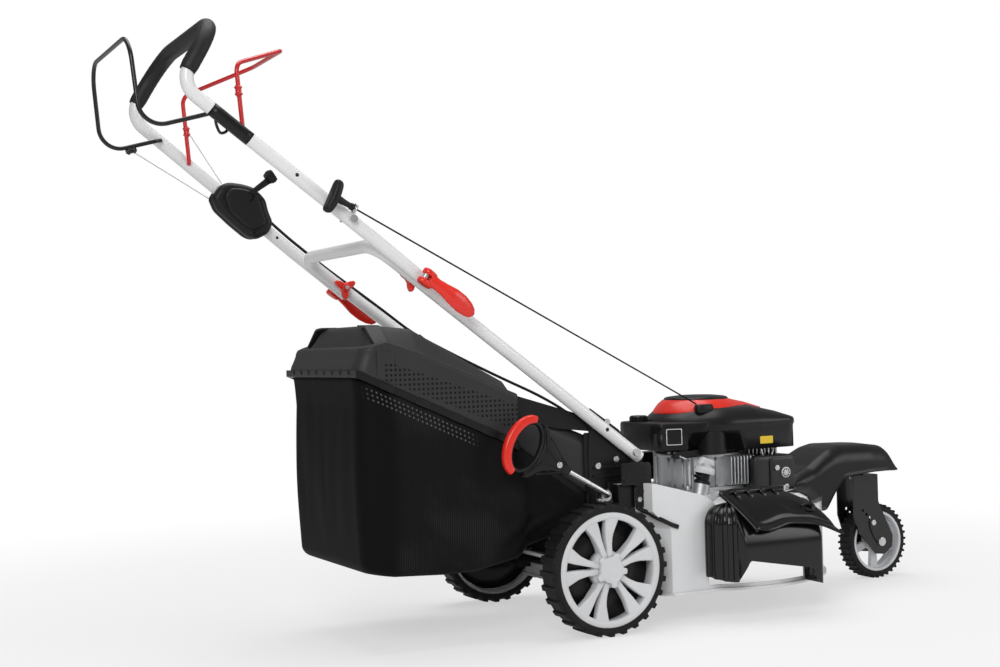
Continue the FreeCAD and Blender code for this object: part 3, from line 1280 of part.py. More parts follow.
# ---------------------------------------------------------------------------------------
# Handle
# ---------------------------------------------------------------------------------------
def make_handle():
    bore = s.tube_radius - s.tube_wall
    half = [on_lower(-s.lower_leg, s.lower_half), on_lower(s.lower_head, s.lower_half)]
    path = rounded_path(both_sides(half), [45, 45])
    lower = swept(path, s.tube_radius).cut(swept(path, bore))
    for point in handle_hole_places():
        lower = lower.cut(Part.makeCylinder(4 + s.running_gap, 600, V(point.x, -300, point.z), AXIS_Y))
    clamp_hole = Part.makeCylinder(s.cam_bolt_radius + s.running_gap, 600, CAM - V(0, 300, 0), AXIS_Y)
    feature("lower_handle", lower.cut(clamp_hole))
    grip_dir = V(0.5, 0, 0.866)
    reach = crossing(CAM, UPPER_DIR, V(s.grip_x, 0, s.grip_z), grip_dir)
    knee = CAM + UPPER_DIR * reach
    half = [on_upper(-22, 1), on_upper(120, 1), V(knee.x, s.grip_half + 3, knee.z),
            V(s.grip_x, s.grip_half, s.grip_z)]
    radii = [200, 40, 73]
    path = rounded_path(both_sides(half), radii + radii[::-1])
    upper = swept(path, s.tube_radius).cut(swept(path, bore))
    holes = [(CAM, s.cam_bolt_radius), (on_upper(BRAKE_AT), s.rod_radius), (on_upper(DRIVE_AT), s.rod_radius),
             (on_upper(GUIDE_AT), 3)]
    for point, radius in holes:
        upper = upper.cut(Part.makeCylinder(radius + s.running_gap, 600, V(point.x, -300, point.z), AXIS_Y))
    accessory = on_upper(294, -1)
    upper = upper.cut(Part.makeCylinder(3.5, 40, accessory - V(0, 20, 0), AXIS_Y))
    feature("upper_handle", upper)
    start = knee + grip_dir * 36
    half = [V(start.x, s.grip_half + 2.2, start.z), V(s.grip_x, s.grip_half, s.grip_z)]
    path = rounded_path(both_sides(half), [73, 73])
    foam = swept(path, s.foam_radius).cut(swept(path, s.tube_radius + 0.02))
    feature("foam_grip", foam)


def crossing(point, direction, other, other_direction):
    """How far along a line in the XZ plane it meets another line."""
    gap = other - point
    turn = direction.x * other_direction.z - direction.z * other_direction.x
    return (gap.x * other_direction.z - gap.z * other_direction.x) / turn


BRAKE_AT = 471.0
DRIVE_AT = 401.0
GUIDE_AT = 169.0


def make_bails():
    """Two bent rods with their feet through the handle's legs."""
    pivot = on_upper(BRAKE_AT)
    side = upper_half_at(BRAKE_AT)
    half = [V(pivot.x, side + 7, pivot.z), V(pivot.x, side - 24, pivot.z),
            V(pivot.x - 100, 160, pivot.z - 30), V(pivot.x - 126, 156, pivot.z - 2),
            V(pivot.x - 136, 150, pivot.z + 132)]
    radii = [7, 18, 14, 60]
    feature("brake_bail", swept(rounded_path(both_sides(half), radii + radii[::-1]), s.rod_radius))
    pivot = on_upper(DRIVE_AT)
    side = upper_half_at(DRIVE_AT)
    half = [V(pivot.x, side + 7, pivot.z), V(pivot.x, 178, pivot.z), V(pivot.x - 11, 178, pivot.z + 131),
            V(pivot.x + 105, 86, pivot.z + 179)]
    radii = [5, 22, 25]
    feature("drive_bail", swept(rounded_path(both_sides(half), radii + radii[::-1]), s.rod_radius))


def make_joint_clamps():
    """Cam levers outside, star nuts inside, and the bolts between them."""
    bolts = []
    for word, side in SIDES:
        pin_y = UPPER_HALF + s.tube_radius + 11 + s.seat_gap
        turn = FreeCAD.Rotation(LOWER_DIR * -1, V(0, side, 0), V(0, 0, 0), "XYZ")
        spot = FreeCAD.Placement(CAM + V(0, side * pin_y, 0), turn)
        cam = Part.makeCylinder(11, 26, V(0, 0, -13), AXIS_Z)
        arm = prism_z([(0, -6), (0, 11), (40, 13), (104, 9), (118, 3), (118, -2), (100, 0), (40, 2)], -13, 13)
        taper = prism_y([(-12, -13), (60, -14), (118, -7), (118, 7), (60, 14), (-12, 13)], -30, 30)
        lever = fused([cam, arm]).common(taper.fuse(Part.makeBox(24, 60, 26, V(-12, -30, -13))))
        lever = lever.cut(Part.makeBox(26.5, 60, 9, V(-13, -30, -4.5)))
        lever = lever.cut(Part.makeCylinder(3 + s.running_gap, 40, V(0, 0, -20), AXIS_Z))
        lever.Placement = spot
        feature("cam_lever_" + word, lever)
        pin = Part.makeCylinder(3, 26, V(0, 0, -13), AXIS_Z)
        eye = Part.makeCylinder(6, 8.6, V(0, 0, -4.3), AXIS_Z)
        inner_end = s.lower_half - s.tube_radius - 20
        shank = Part.makeCylinder(s.cam_bolt_radius, pin_y - inner_end, V(0, 0, 0), V(0, -1, 0))
        bolt = fused([pin, eye, shank])
        bolt.Placement = spot
        bolts.append(bolt)
        face = s.lower_half - s.tube_radius - s.seat_gap
        hub = Part.makeCylinder(11, 14, V(0, 0, 0), AXIS_Y)
        lobes = []
        for i in range(3):
            angle = math.tau * i / 3 + 0.4
            lobes.append(Part.makeCylinder(8, 11, V(13 * math.cos(angle), 0, 13 * math.sin(angle)), AXIS_Y))
        nut = fused([hub] + lobes)
        nut = nut.cut(Part.makeCylinder(s.cam_bolt_radius + s.running_gap, 30, V(0, -5, 0), AXIS_Y))
        if side > 0:
            nut = nut.mirror(V(0, 0, 0), AXIS_Y)
        nut.translate(CAM + V(0, side * face, 0))
        feature("star_nut_" + word, nut)
    feature("cam_bolts", Part.makeCompound(bolts))


def make_control_box():
    """The throttle box clamped round the left leg, with its lever."""
    middle = on_upper(278, 1)
    y0, y1 = middle.y - 27, middle.y + 20
    outline = [(-52, 10), (-36, 34), (-18, 42), (11, 39), (34, 33), (50, 19), (60, 7), (64, -14),
               (74, -38), (64, -60), (37, -73), (20, -68), (-12, -42), (-42, -14)]
    shell = prism_y([(middle.x + x, middle.z + z) for x, z in outline], y0, y1)
    along = rounded_path([on_upper(120, 1), on_upper(430, 1)], [])
    shell = shell.cut(swept(along, s.tube_radius + 0.02))
    pin = V(middle.x + 26, y0, middle.z + 26)
    shell = shell.cut(Part.makeCylinder(3 + s.running_gap, 12, pin, AXIS_Y))
    feature("control_box", shell)
    arm_outline = [(-7, -4), (3, -8), (40, 16), (33, 27)]
    knob_outline = [(25, 33), (36.5, 40.7), (51, 19), (39.5, 11.3)]
    arm = prism_y([(pin.x + x, pin.z + z) for x, z in arm_outline], y0 - 8.4, y0 - 0.4)
    knob = prism_y([(pin.x + x, pin.z + z) for x, z in knob_outline], y0 - 15, y0 + 5)
    peg = Part.makeCylinder(3, 19, V(pin.x, y0 - 8, pin.z), AXIS_Y)
    feature("control_lever", fused([arm, knob, peg]))


# ---------------------------------------------------------------------------------------
# Starter rope, grip, guide and cables
# ---------------------------------------------------------------------------------------
def rope_line():
    """The rope's two ends: at the starter's notch and in the guide on the handle."""
    around = math.radians(236)
    reach = s.cap_radius + s.rope_radius + s.seat_gap
    engine_end = V(s.crank_x + reach * math.cos(around), reach * math.sin(around), s.cover_top + 7)
    leg = on_upper(GUIDE_AT, -1)
    guide = V(leg.x, leg.y - s.tube_radius - 8, leg.z + 19)
    return engine_end, guide


def make_starter():
    engine_end, guide = rope_line()
    pull = (guide - engine_end).normalize()
    rope = bar_between(engine_end, guide - pull * 1.1, s.rope_radius)
    feature("starter_rope", rope)
    across = V(0.52, 0, 0.85).normalize()
    bar_mid = guide + pull * 44
    stem = bar_between(guide - pull * 0.8, bar_mid, 5.5)
    bar = bar_between(bar_mid - across * 30, bar_mid + across * 30, 8.5)
    feature("starter_grip", fused([stem, bar]))
    ring = Part.makeTorus(7.5, 2.2, guide - pull * 2, pull)
    leg = on_upper(GUIDE_AT, -1)
    outer_y = leg.y - s.tube_radius
    stem_foot = V(leg.x, outer_y - 8, leg.z + 3)
    post = bar_between(stem_foot, V(guide.x, guide.y, guide.z - 7) - pull * 2, 2.2)
    inner_y = leg.y + s.tube_radius
    shank = Part.makeCylinder(3, inner_y + 12 - outer_y + 11, V(leg.x, outer_y - 11, leg.z), AXIS_Y)
    plate = Part.makeCylinder(7, 5, V(leg.x, outer_y - 10, leg.z), AXIS_Y)
    washer = Part.makeCylinder(6, 5.2, V(leg.x, outer_y - 5.8, leg.z), AXIS_Y)
    wing = Part.makeBox(24, 5, 7, V(leg.x - 12, inner_y + 2, leg.z - 3.5))
    nut = Part.makeCylinder(6, 8, V(leg.x, inner_y + 0.6, leg.z), AXIS_Y)
    feature("rope_guide", fused([ring, post, shank, plate, washer, wing, nut]))


def cable_route():
    """The control cables: along the left leg, through the clip, in a bow to the engine."""
    lift = V(0.61, 0, 0.79) * (s.tube_radius + s.cable_radius + 2.5)
    start = on_upper(196, 1) + V(0.61, 0, 0.79) * (s.tube_radius + s.cable_radius + 4)
    points = [start, on_upper(150, 1) + lift, on_upper(60, 1) + lift * 1.02]
    points += [V(-262, 190, 640), V(-200, 187, 592.5), V(-130, 184, 556), V(-60, 176, 520),
               V(10, 160, 484), V(72, 138, 452), V(128, 112, 414), V(176, 92, 366),
               V(228, 84, 330), V(284, 86, 306), V(s.crank_x - 75, 80, s.case_top - 30)]
    return points


def make_cables():
    feature("control_cables", cable("control_cables", cable_route(), s.cable_radius))
    clip_at = on_lower(-206, s.lower_half)
    clip = fused([
        Part.makeCylinder(s.tube_radius + 4, 16, clip_at - LOWER_DIR * 8, LOWER_DIR),
        Part.makeCylinder(7, 16, clip_at + V(0.6, 0, 0.8) * (s.tube_radius + 6) - LOWER_DIR * 8, LOWER_DIR),
    ])
    clip = clip.cut(Part.makeCylinder(s.tube_radius + 0.05, 30, clip_at - LOWER_DIR * 15, LOWER_DIR))
    channel_bar = swept(rounded_path(cable_route(), largest_radii(cable_route())), s.cable_radius + 0.3)
    feature("cable_clip", clip.cut(channel_bar))


def make_bail_wires():
    """The thin wires from both bails down to the control box."""
    middle = on_upper(278, 1)
    brake, drive = on_upper(BRAKE_AT), on_upper(DRIVE_AT)
    wires = [
        [V(brake.x - 62, 163, brake.z - 24.1), V(middle.x - 53.2, middle.y - 4, middle.z + 9)],
        [V(drive.x + 0.3, 178, drive.z + 60), V(middle.x - 27, middle.y - 4, middle.z + 40)],
    ]
    return feature("bail_wires", Part.makeCompound([cable("bail_wire", w, s.wire_radius) for w in wires]))


def make_fasteners():
    """The hinge rods, and the bolts that hold the engine, the handle and the fender."""
    bolts = hinge_rods()
    for x, y in engine_bolt_places():
        low = s.deck_top - s.deck_wall - 6
        shank = Part.makeCylinder(4, s.deck_top + 18 - low, V(x, y, low), AXIS_Z)
        nut = Part.makeCylinder(7, 6, V(x, y, low), AXIS_Z)
        head = Part.makeCylinder(7.5, 6, V(x, y, s.deck_top + 12), AXIS_Z)
        bolts.append(fused([shank, nut, head]))
    for x, y in fender_bolt_places():
        low = s.deck_top - s.deck_wall - 6
        shank = Part.makeCylinder(4, SHEET_TOP + 10 - low, V(x, y, low), AXIS_Z)
        nut = Part.makeCylinder(7, 6, V(x, y, low), AXIS_Z)
        head = Part.makeCylinder(7.5, 6, V(x, y, SHEET_TOP + 4), AXIS_Z)
        bolts.append(fused([shank, nut, head]))
    for point in handle_hole_places()[:1]:
        for _, side in SIDES:
            low, high = s.bracket_inner - 6, s.lower_half + s.tube_radius + 6
            y = side * low if side > 0 else -high
            shank = Part.makeCylinder(4, high - low, V(point.x, y, point.z), AXIS_Y)
            ends = []
            for start in (low, high - 6):
                y = side * start if side > 0 else -start - 6
                ends.append(Part.makeCylinder(7.5, 6, V(point.x, y, point.z), AXIS_Y))
            bolts.append(fused([shank] + ends))
    return feature("chassis_fasteners", Part.makeCompound(bolts))


# ---------------------------------------------------------------------------------------
# Build, check and write
# ---------------------------------------------------------------------------------------
NODES = """deck_shell discharge_tunnel side_brackets lower_handle front_fender engine_block engine_cover
cover_trim recoil_cap fuel_tank fuel_cap carburettor air_filter muffler spark_plug oil_filler_neck
oil_cap side_chute side_flap rear_flap chassis_fasteners drive_belt crankshaft flywheel blade
blade_adapter blade_bolt height_frame height_lever height_grip gearbox rear_axle rear_tyre_left
rear_rim_left rear_tyre_right rear_rim_right caster_fork caster_bolts caster_rim caster_tyre bag_lid
bag_frame bag_fabric upper_handle foam_grip brake_bail drive_bail control_box control_lever
cam_lever_left cam_lever_right star_nut_left star_nut_right cam_bolts starter_grip starter_rope
rope_guide control_cables cable_clip bail_wires""".split()


def check_document():
    """Stop if any object failed or any node's shape is missing or broken."""
    DOC.recompute()
    faults = [o.Label for o in DOC.Objects if "Invalid" in o.State or "Error" in o.State]
    for name in NODES:
        found = DOC.getObjectsByLabel(name)
        if len(found) != 1:
            faults.append("%s: %d objects" % (name, len(found)))
            continue
        shape = found[0].Shape
        if shape.isNull() or not shape.isValid() or not shape.Solids:
            faults.append("%s: broken shape" % name)
        elif any(solid.Volume <= 0 for solid in shape.Solids):
            faults.append("%s: inside out" % name)
    if faults:
        raise RuntimeError("These objects need repair: " + ", ".join(faults))


def write_parts():
    os.makedirs("parts", exist_ok=True)
    for name in NODES:
        DOC.getObjectsByLabel(name)[0].Shape.exportStep("parts/%s.step" % name)


def main():
    make_wheels()
    make_caster()
    make_front_fender()
    make_deck()
    make_tunnel()
    make_side_brackets()
    make_height_adjuster()
    make_belt()
    make_engine()
    make_grass_bag()
    make_rear_flap()
    make_side_chute()
    make_side_flap()
    make_handle()
    make_bails()
    make_joint_clamps()
    make_control_box()
    make_starter()
    make_cables()
    make_bail_wires()
    make_fasteners()
    check_document()
    write_parts()


main()
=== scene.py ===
"""Looks of a walk-behind lawn mower with a grass bag, a folding handle and a front caster.

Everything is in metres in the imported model's own frame: +X forward to the caster, +Y to the
left, +Z up, with the origin on the ground under the rear axle.
"""
import json
import logging
import math
from dataclasses import dataclass
from enum import Enum
from itertools import product
from typing import Sequence

import bmesh
import bpy
import numpy as np
from mathutils import Matrix, Vector

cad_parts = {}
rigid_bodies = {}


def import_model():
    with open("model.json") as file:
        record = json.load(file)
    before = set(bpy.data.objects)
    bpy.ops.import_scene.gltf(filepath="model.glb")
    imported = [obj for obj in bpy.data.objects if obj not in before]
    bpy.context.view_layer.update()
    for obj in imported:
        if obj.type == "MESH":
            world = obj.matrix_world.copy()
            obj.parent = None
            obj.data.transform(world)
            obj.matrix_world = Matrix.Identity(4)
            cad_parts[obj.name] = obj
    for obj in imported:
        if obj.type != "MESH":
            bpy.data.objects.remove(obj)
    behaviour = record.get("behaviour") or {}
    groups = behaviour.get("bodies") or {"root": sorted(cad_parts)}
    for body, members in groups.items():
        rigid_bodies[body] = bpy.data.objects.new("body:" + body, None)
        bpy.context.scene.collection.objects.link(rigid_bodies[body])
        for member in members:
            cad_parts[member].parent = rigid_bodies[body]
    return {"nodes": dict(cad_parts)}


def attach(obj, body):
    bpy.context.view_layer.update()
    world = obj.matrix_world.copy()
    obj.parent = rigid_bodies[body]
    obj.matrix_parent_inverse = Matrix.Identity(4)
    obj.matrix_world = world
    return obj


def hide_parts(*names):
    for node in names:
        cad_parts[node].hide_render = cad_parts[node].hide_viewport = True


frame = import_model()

LOG = logging.getLogger("mower")
MM = 0.001
Colour = tuple[float, float, float]
AHEAD, LEFT, UP = np.eye(3)
TOP_FACE = (AHEAD, LEFT, UP)
FRONT_FACE = (LEFT, UP, AHEAD)


class Side(Enum):
    """The two sides of the mower, each with the sign of Y there."""

    LEFT = 1
    RIGHT = -1

    @property
    def word(self) -> str:
        """The side's name, as pieces carry it."""
        return self.name.lower()

    @property
    def face(self) -> tuple[np.ndarray, np.ndarray, np.ndarray]:
        """Right, up and out for a shape that faces away from the mower on this side."""
        return AHEAD, UP, LEFT * self.value


# ---------------------------------------------------------------------------------------
# Shader maths
# ---------------------------------------------------------------------------------------
class Field:
    """A socket of a node, whose arithmetic adds Math nodes."""

    def __init__(self, nodes: "Nodes", socket: bpy.types.NodeSocket) -> None:
        """Wraps a socket.

        Args:
            nodes: the builder of the socket's tree.
            socket: the output that carries the value.
        """
        self.nodes = nodes
        self.socket = socket

    def _math(self, operation: str, first: "Field | float", second: "Field | float" = 0.0) -> "Field":
        """Adds one Math node."""
        return self.nodes.node("ShaderNodeMath", {"operation": operation}, {0: first, 1: second})

    def __add__(self, other: "Field | float") -> "Field":
        """Sum."""
        return self._math("ADD", self, other)

    __radd__ = __add__

    def __sub__(self, other: "Field | float") -> "Field":
        """Difference."""
        return self._math("SUBTRACT", self, other)

    def __rsub__(self, other: float) -> "Field":
        """A number less this value."""
        return self._math("SUBTRACT", other, self)

    def __mul__(self, other: "Field | float") -> "Field":
        """Product."""
        return self._math("MULTIPLY", self, other)

    __rmul__ = __mul__

    def above(self, edge: float, soft: float) -> "Field":
        """A mask that rises from 0 to 1 over a soft step.

        Args:
            edge: the value at the middle of the step.
            soft: the width of the step.

        Returns:
            The mask.
        """
        settings = {"interpolation_type": "SMOOTHSTEP"}
        inputs = {0: self, 1: edge - soft / 2, 2: edge + soft / 2, 3: 0.0, 4: 1.0}
        return self.nodes.node("ShaderNodeMapRange", settings, inputs)

    def wave(self, period: float) -> "Field":
        """A sine of this value, from 0 to 1, with the given period."""
        return self._math("SINE", self * (math.tau / period)) * 0.5 + 0.5

    def within(self, low: "Field | float", high: "Field | float", soft: float) -> "Field":
        """A mask that is 1 between two values, with soft edges."""
        return (self - low).above(0.0, soft) * (high - self).above(0.0, soft)

    def dots(self, pitch: float, half: float, soft: float) -> "Field":
        """A mask that is 1 round the middle of each period of this value.

        Args:
            pitch: the period.
            half: half width of what is 1, as a share of the period.
            soft: width of its edges, as a share of the period.

        Returns:
            The mask.
        """
        return self._math("FRACT", self * (1 / pitch)).within(0.5 - half, 0.5 + half, soft)


class Nodes:
    """Adds nodes to a tree and links them."""

    def __init__(self, tree: bpy.types.NodeTree) -> None:
        """Wraps the tree of a material or a world."""
        self.tree = tree

    def feed(self, socket: bpy.types.NodeSocket, value: "Field | float | Sequence[float]") -> None:
        """Links a field to a socket, or sets the socket's number or colour.

        Args:
            socket: the input.
            value: what it takes.
        """
        if isinstance(value, Field):
            self.tree.links.new(value.socket, socket)
        elif hasattr(value, "__len__") and socket.type == "RGBA":
            socket.default_value = (*value, 1.0)
        else:
            socket.default_value = value

    def node(self, kind: str, settings: dict, inputs: dict, output: int | str = 0) -> Field:
        """Adds any node.

        Args:
            kind: the node's type.
            settings: the node's settings; "stops" holds a ramp's (place, colour) pairs.
            inputs: values or fields by socket.
            output: the output to return.

        Returns:
            The chosen output.
        """
        made = self.tree.nodes.new(kind)
        for word, value in settings.items():
            if word != "stops":
                setattr(made, word, value)
                continue
            ramp = made.color_ramp.elements
            while len(ramp) < len(value):
                ramp.new(0.5)
            for stop, (place, colour) in zip(ramp, value):
                stop.position = place
                stop.color = (*colour, 1.0)
        for socket, value in inputs.items():
            self.feed(made.inputs[socket], value)
        return Field(self, made.outputs[output])

    def ray(self, kind: str) -> Field:
        """1 for one kind of ray, and 0 for the others."""
        return self.node("ShaderNodeLightPath", {}, {}, "Is %s Ray" % kind)


class Shading(Nodes):
    """Builds one material round a Principled shader."""

    def __init__(self, name: str, constants: dict[str, float] | None = None) -> None:
        """Starts a material.

        Args:
            name: the material's name.
            constants: values of the shader's own sockets by name.
        """
        self.material = bpy.data.materials.new(name)
        self.material.use_nodes = True
        super().__init__(self.material.node_tree)
        self.shader = self.tree.nodes["Principled BSDF"]
        for word, value in (constants or {}).items():
            self.shader.inputs[word].default_value = value

    def place(self) -> Field:
        """Object coordinates."""
        return self.node("ShaderNodeTexCoord", {}, {}, "Object")

    def cloth_place(self) -> Field:
        """The piece's own map, in metres."""
        return self.node("ShaderNodeUVMap", {"uv_map": "surface"}, {})

    def axis(self, vector: Field, word: str) -> Field:
        """One component of a vector."""
        return self.node("ShaderNodeSeparateXYZ", {}, {0: vector}, word)

    def stretched(self, vector: Field, scale: Sequence[float]) -> Field:
        """A vector scaled along each axis."""
        return self.node("ShaderNodeMapping", {}, {"Vector": vector, "Scale": scale})

    def noise(self, vector: Field, scale: float, detail: float = 2.0) -> Field:
        """Fractal noise from 0 to 1."""
        inputs = {"Vector": vector, "Scale": scale, "Detail": detail}
        return self.node("ShaderNodeTexNoise", {}, inputs)

    def cells(self, vector: Field, scale: float) -> Field:
        """Distance to the nearest of scattered points."""
        return self.node("ShaderNodeTexVoronoi", {}, {"Vector": vector, "Scale": scale})

    def mix(self, factor: "Field | float", first: "Field | Colour", second: "Field | Colour") -> Field:
        """Blends two colours."""
        return self.node("ShaderNodeMix", {"data_type": "RGBA"}, {0: factor, 6: first, 7: second}, 2)

    def finish(self, colour: "Field | Colour", roughness: "Field | float", height: "Field | float",
               depth: float, edge: float) -> bpy.types.Material:
        """Joins colour, roughness and relief to the shader.

        Args:
            colour: base colour.
            roughness: roughness.
            height: relief, from 0 to 1.
            depth: size of the relief in metres.
            edge: radius in metres that sharp edges seem rounded by.

        Returns:
            The material.
        """
        self.feed(self.shader.inputs["Base Color"], colour)
        self.feed(self.shader.inputs["Roughness"], roughness)
        rounded = self.node("ShaderNodeBevel", {"samples": 6}, {"Radius": edge})
        relief = {"Strength": 1.0, "Distance": depth, "Height": height, "Normal": rounded}
        self.feed(self.shader.inputs["Normal"], self.node("ShaderNodeBump", {}, relief))
        return self.material


# ---------------------------------------------------------------------------------------
# Finishes
# ---------------------------------------------------------------------------------------
@dataclass(frozen=True)
class Finish:
    """A material that is made from a few values."""

    name: str
    colour: Colour

    def shade(self, share: float) -> Colour:
        """The finish's colour scaled by a share."""
        return tuple(min(1.0, channel * share) for channel in self.colour)

    def toned(self, shading: Shading, mask: Field, low: float, high: float) -> Field:
        """The colour scaled by one share where a mask is 0, and by another where it is 1."""
        return shading.mix(mask, self.shade(low), self.shade(high))


@dataclass(frozen=True)
class Paint(Finish):
    """Sprayed or powder-coated metal: a faint orange peel under a clear coat."""

    roughness: float = 0.30
    peel: float = 0.000008
    specular: float = 0.5
    edge: float = 0.0014

    def make(self) -> bpy.types.Material:
        """Builds the material.

        Returns:
            The material.
        """
        constants = {"Coat Weight": 0.3, "Coat Roughness": 0.1, "Specular IOR Level": self.specular}
        shading = Shading(self.name, constants)
        place = shading.place()
        soft = shading.noise(place, 7, 3)
        colour = self.toned(shading, soft, 0.95, 1.03)
        fine = shading.noise(place, 420, 2)
        dust = shading.noise(place, 35, 4).above(0.66, 0.25)
        colour = shading.mix(dust * 0.02, colour, (0.45, 0.42, 0.37))
        return shading.finish(colour, soft * 0.1 + (self.roughness - 0.05), fine, self.peel, self.edge)


@dataclass(frozen=True)
class Moulded(Finish):
    """Injection-moulded plastic with a fine spark-eroded grain and faint handling marks."""

    roughness: float = 0.5
    grain: float = 0.000014
    specular: float = 0.28
    edge: float = 0.0012

    def make(self) -> bpy.types.Material:
        """Builds the material.

        Returns:
            The material.
        """
        shading = Shading(self.name, {"Specular IOR Level": self.specular})
        place = shading.place()
        grain = shading.noise(place, 1500, 2)
        patch = shading.noise(place, 11, 3)
        rubbed = shading.noise(shading.stretched(place, (1, 1, 4)), 60, 4).above(0.68, 0.2)
        colour = self.toned(shading, patch, 0.85, 1.15)
        colour = shading.mix(rubbed * 0.25, colour, self.shade(1.8))
        rough = patch * 0.12 + grain * 0.06 + (self.roughness - 0.09)
        return shading.finish(colour, rough, grain, self.grain, self.edge)


@dataclass(frozen=True)
class VentedLid(Finish):
    """The bag lid's grained plastic, with a field of square air holes low on each side, painted near black:
    painted shade inside the holes.
    """

    pitch: float = 0.0092
    top_line: Sequence[float] = (-0.341, 0.3935)
    low_line: Sequence[float] = (-0.390, 0.3370)
    ends: Sequence[float] = (-0.423, -0.150)
    side: float = 0.15
    soft: float = 0.002

    def holes(self, shading: Shading, place: Field) -> Field:
        """A mask of the air holes.

        They stand on an upright square grid, between two sloping lines and two ends, where
        the surface is far enough out to be a side of the lid.  A line is its slope and its
        height at X = 0.

        Args:
            shading: the material's builder.
            place: object coordinates.

        Returns:
            The mask.
        """
        x, y, z = (shading.axis(place, word) for word in "XYZ")
        top, low = (x * slope + height for slope, height in (self.top_line, self.low_line))
        field = z.within(low, top, self.soft) * x.within(*self.ends, self.soft)
        side = (y * y).above(self.side ** 2, self.soft)
        return x.dots(self.pitch, 0.24, 0.10) * z.dots(self.pitch, 0.24, 0.10) * field * side

    def make(self) -> bpy.types.Material:
        """Builds the material.

        Returns:
            The material.
        """
        shading = Shading(self.name, {"Specular IOR Level": 0.32})
        place = shading.place()
        grain = shading.noise(place, 1300, 2)
        patch = shading.noise(place, 8, 3)
        hole = self.holes(shading, place)
        colour = self.toned(shading, patch, 0.85, 1.15)
        # The holes are painted near black: painted shade inside them.
        colour = shading.mix(hole, colour, (0.0004, 0.0004, 0.0004))
        rough = patch * 0.1 + grain * 0.06 + hole * 0.3 + 0.42
        relief = grain * 0.03 - hole
        return shading.finish(colour, rough, relief, 0.0007, 0.0028)


@dataclass(frozen=True)
class BareMetal(Finish):
    """Plated, brushed or cast metal."""

    roughness: float = 0.35
    scale: float = 500.0
    along: Sequence[float] = (1.0, 1.0, 1.0)
    depth: float = 0.000012

    def make(self) -> bpy.types.Material:
        """Builds the material.

        Returns:
            The material.
        """
        shading = Shading(self.name, {"Metallic": 1.0})
        place = shading.place()
        grain = shading.noise(shading.stretched(place, self.along), self.scale, 3)
        cloud = shading.noise(place, 30, 3)
        colour = self.toned(shading, cloud, 0.8, 1.08)
        rough = grain * 0.16 + cloud * 0.12 + (self.roughness - 0.13)
        return shading.finish(colour, rough, grain, self.depth, 0.0008)


@dataclass(frozen=True)
class Rubber(Finish):
    """Vulcanised tyre rubber with a dry bloom."""

    scale: float = 900.0

    def make(self) -> bpy.types.Material:
        """Builds the material.

        Returns:
            The material.
        """
        shading = Shading(self.name, {"Specular IOR Level": 0.22})
        place = shading.place()
        grain = shading.noise(place, self.scale, 3)
        bloom = shading.noise(place, 40, 4).above(0.55, 0.3)
        colour = shading.mix(bloom * 0.5, self.colour, self.shade(1.8))
        return shading.finish(colour, grain * 0.2 + 0.5, grain, 0.00003, 0.0018)


@dataclass(frozen=True)
class Foam(Finish):
    """Closed-cell foam of a handle grip."""

    def make(self) -> bpy.types.Material:
        """Builds the material.

        Returns:
            The material.
        """
        shading = Shading(self.name, {"Specular IOR Level": 0.4})
        place = shading.place()
        bubbles = shading.cells(place, 700)
        cloud = shading.noise(place, 60, 3)
        colour = self.toned(shading, bubbles, 0.7, 1.3)
        return shading.finish(colour, cloud * 0.1 + 0.5, bubbles, 0.00015, 0.001)


@dataclass(frozen=True)
class Braid(Finish):
    """Braided cord: two sets of strands that cross round it."""

    pitch: float = 0.004

    def make(self) -> bpy.types.Material:
        """Builds the material.

        Returns:
            The material.
        """
        shading = Shading(self.name, {"Specular IOR Level": 0.2})
        place = shading.place()
        x, z = shading.axis(place, "X"), shading.axis(place, "Z")
        strands = (x + z * 1.7).wave(self.pitch) * (x - z * 1.7).wave(self.pitch)
        colour = self.toned(shading, strands, 0.5, 1.6)
        return shading.finish(colour, 0.7, strands, 0.0003, 0.0004)


@dataclass(frozen=True)
class BagCloth(Finish):
    """Black woven mesh: fine upright cords, rows of tiny holes and a perforated strip at the rim, with
    painted sheen in broad patches on the cords.

    The surface map holds the distance along the bag and the distance down from the rim.
    """

    cord: float = 0.0046
    dot: float = 0.0088

    def make(self) -> bpy.types.Material:
        """Builds the material.

        Returns:
            The material.
        """
        shading = Shading(self.name, {"Specular IOR Level": 0.1})
        place = shading.cloth_place()
        u, v = shading.axis(place, "X"), shading.axis(place, "Y")
        mesh = u.above(0.24, 0.03)
        cords = u.wave(self.cord)
        rungs = v.wave(self.cord * 0.62)
        wrinkle = shading.noise(shading.stretched(place, (6, 2, 1)), 3.0, 4)
        # Painted sheen: broad patches where the cords are drawn much lighter, as if they caught the lamps.
        painted_sheen = shading.noise(shading.stretched(place, (5, 7, 1)), 1.1, 5).above(0.55, 0.22)
        shade = cords * 0.7 + rungs * 0.3
        colour = self.toned(shading, shade * mesh, 0.75, 2.1)
        colour = shading.mix(painted_sheen * mesh * cords * 0.7, colour, self.shade(6.0))
        dots = u.dots(self.dot, 0.16, 0.2) * v.dots(self.dot, 0.16, 0.2)
        strip = v.within(0.008, 0.036, 0.003) * u.within(0.19, 0.40, 0.03)
        colour = shading.mix(dots * strip * 0.8, colour, (0.16, 0.16, 0.16))
        relief = cords * mesh * 0.35 + wrinkle * 1.2
        return shading.finish(colour, wrinkle * 0.12 + 0.6, relief, 0.0006, 0.001)


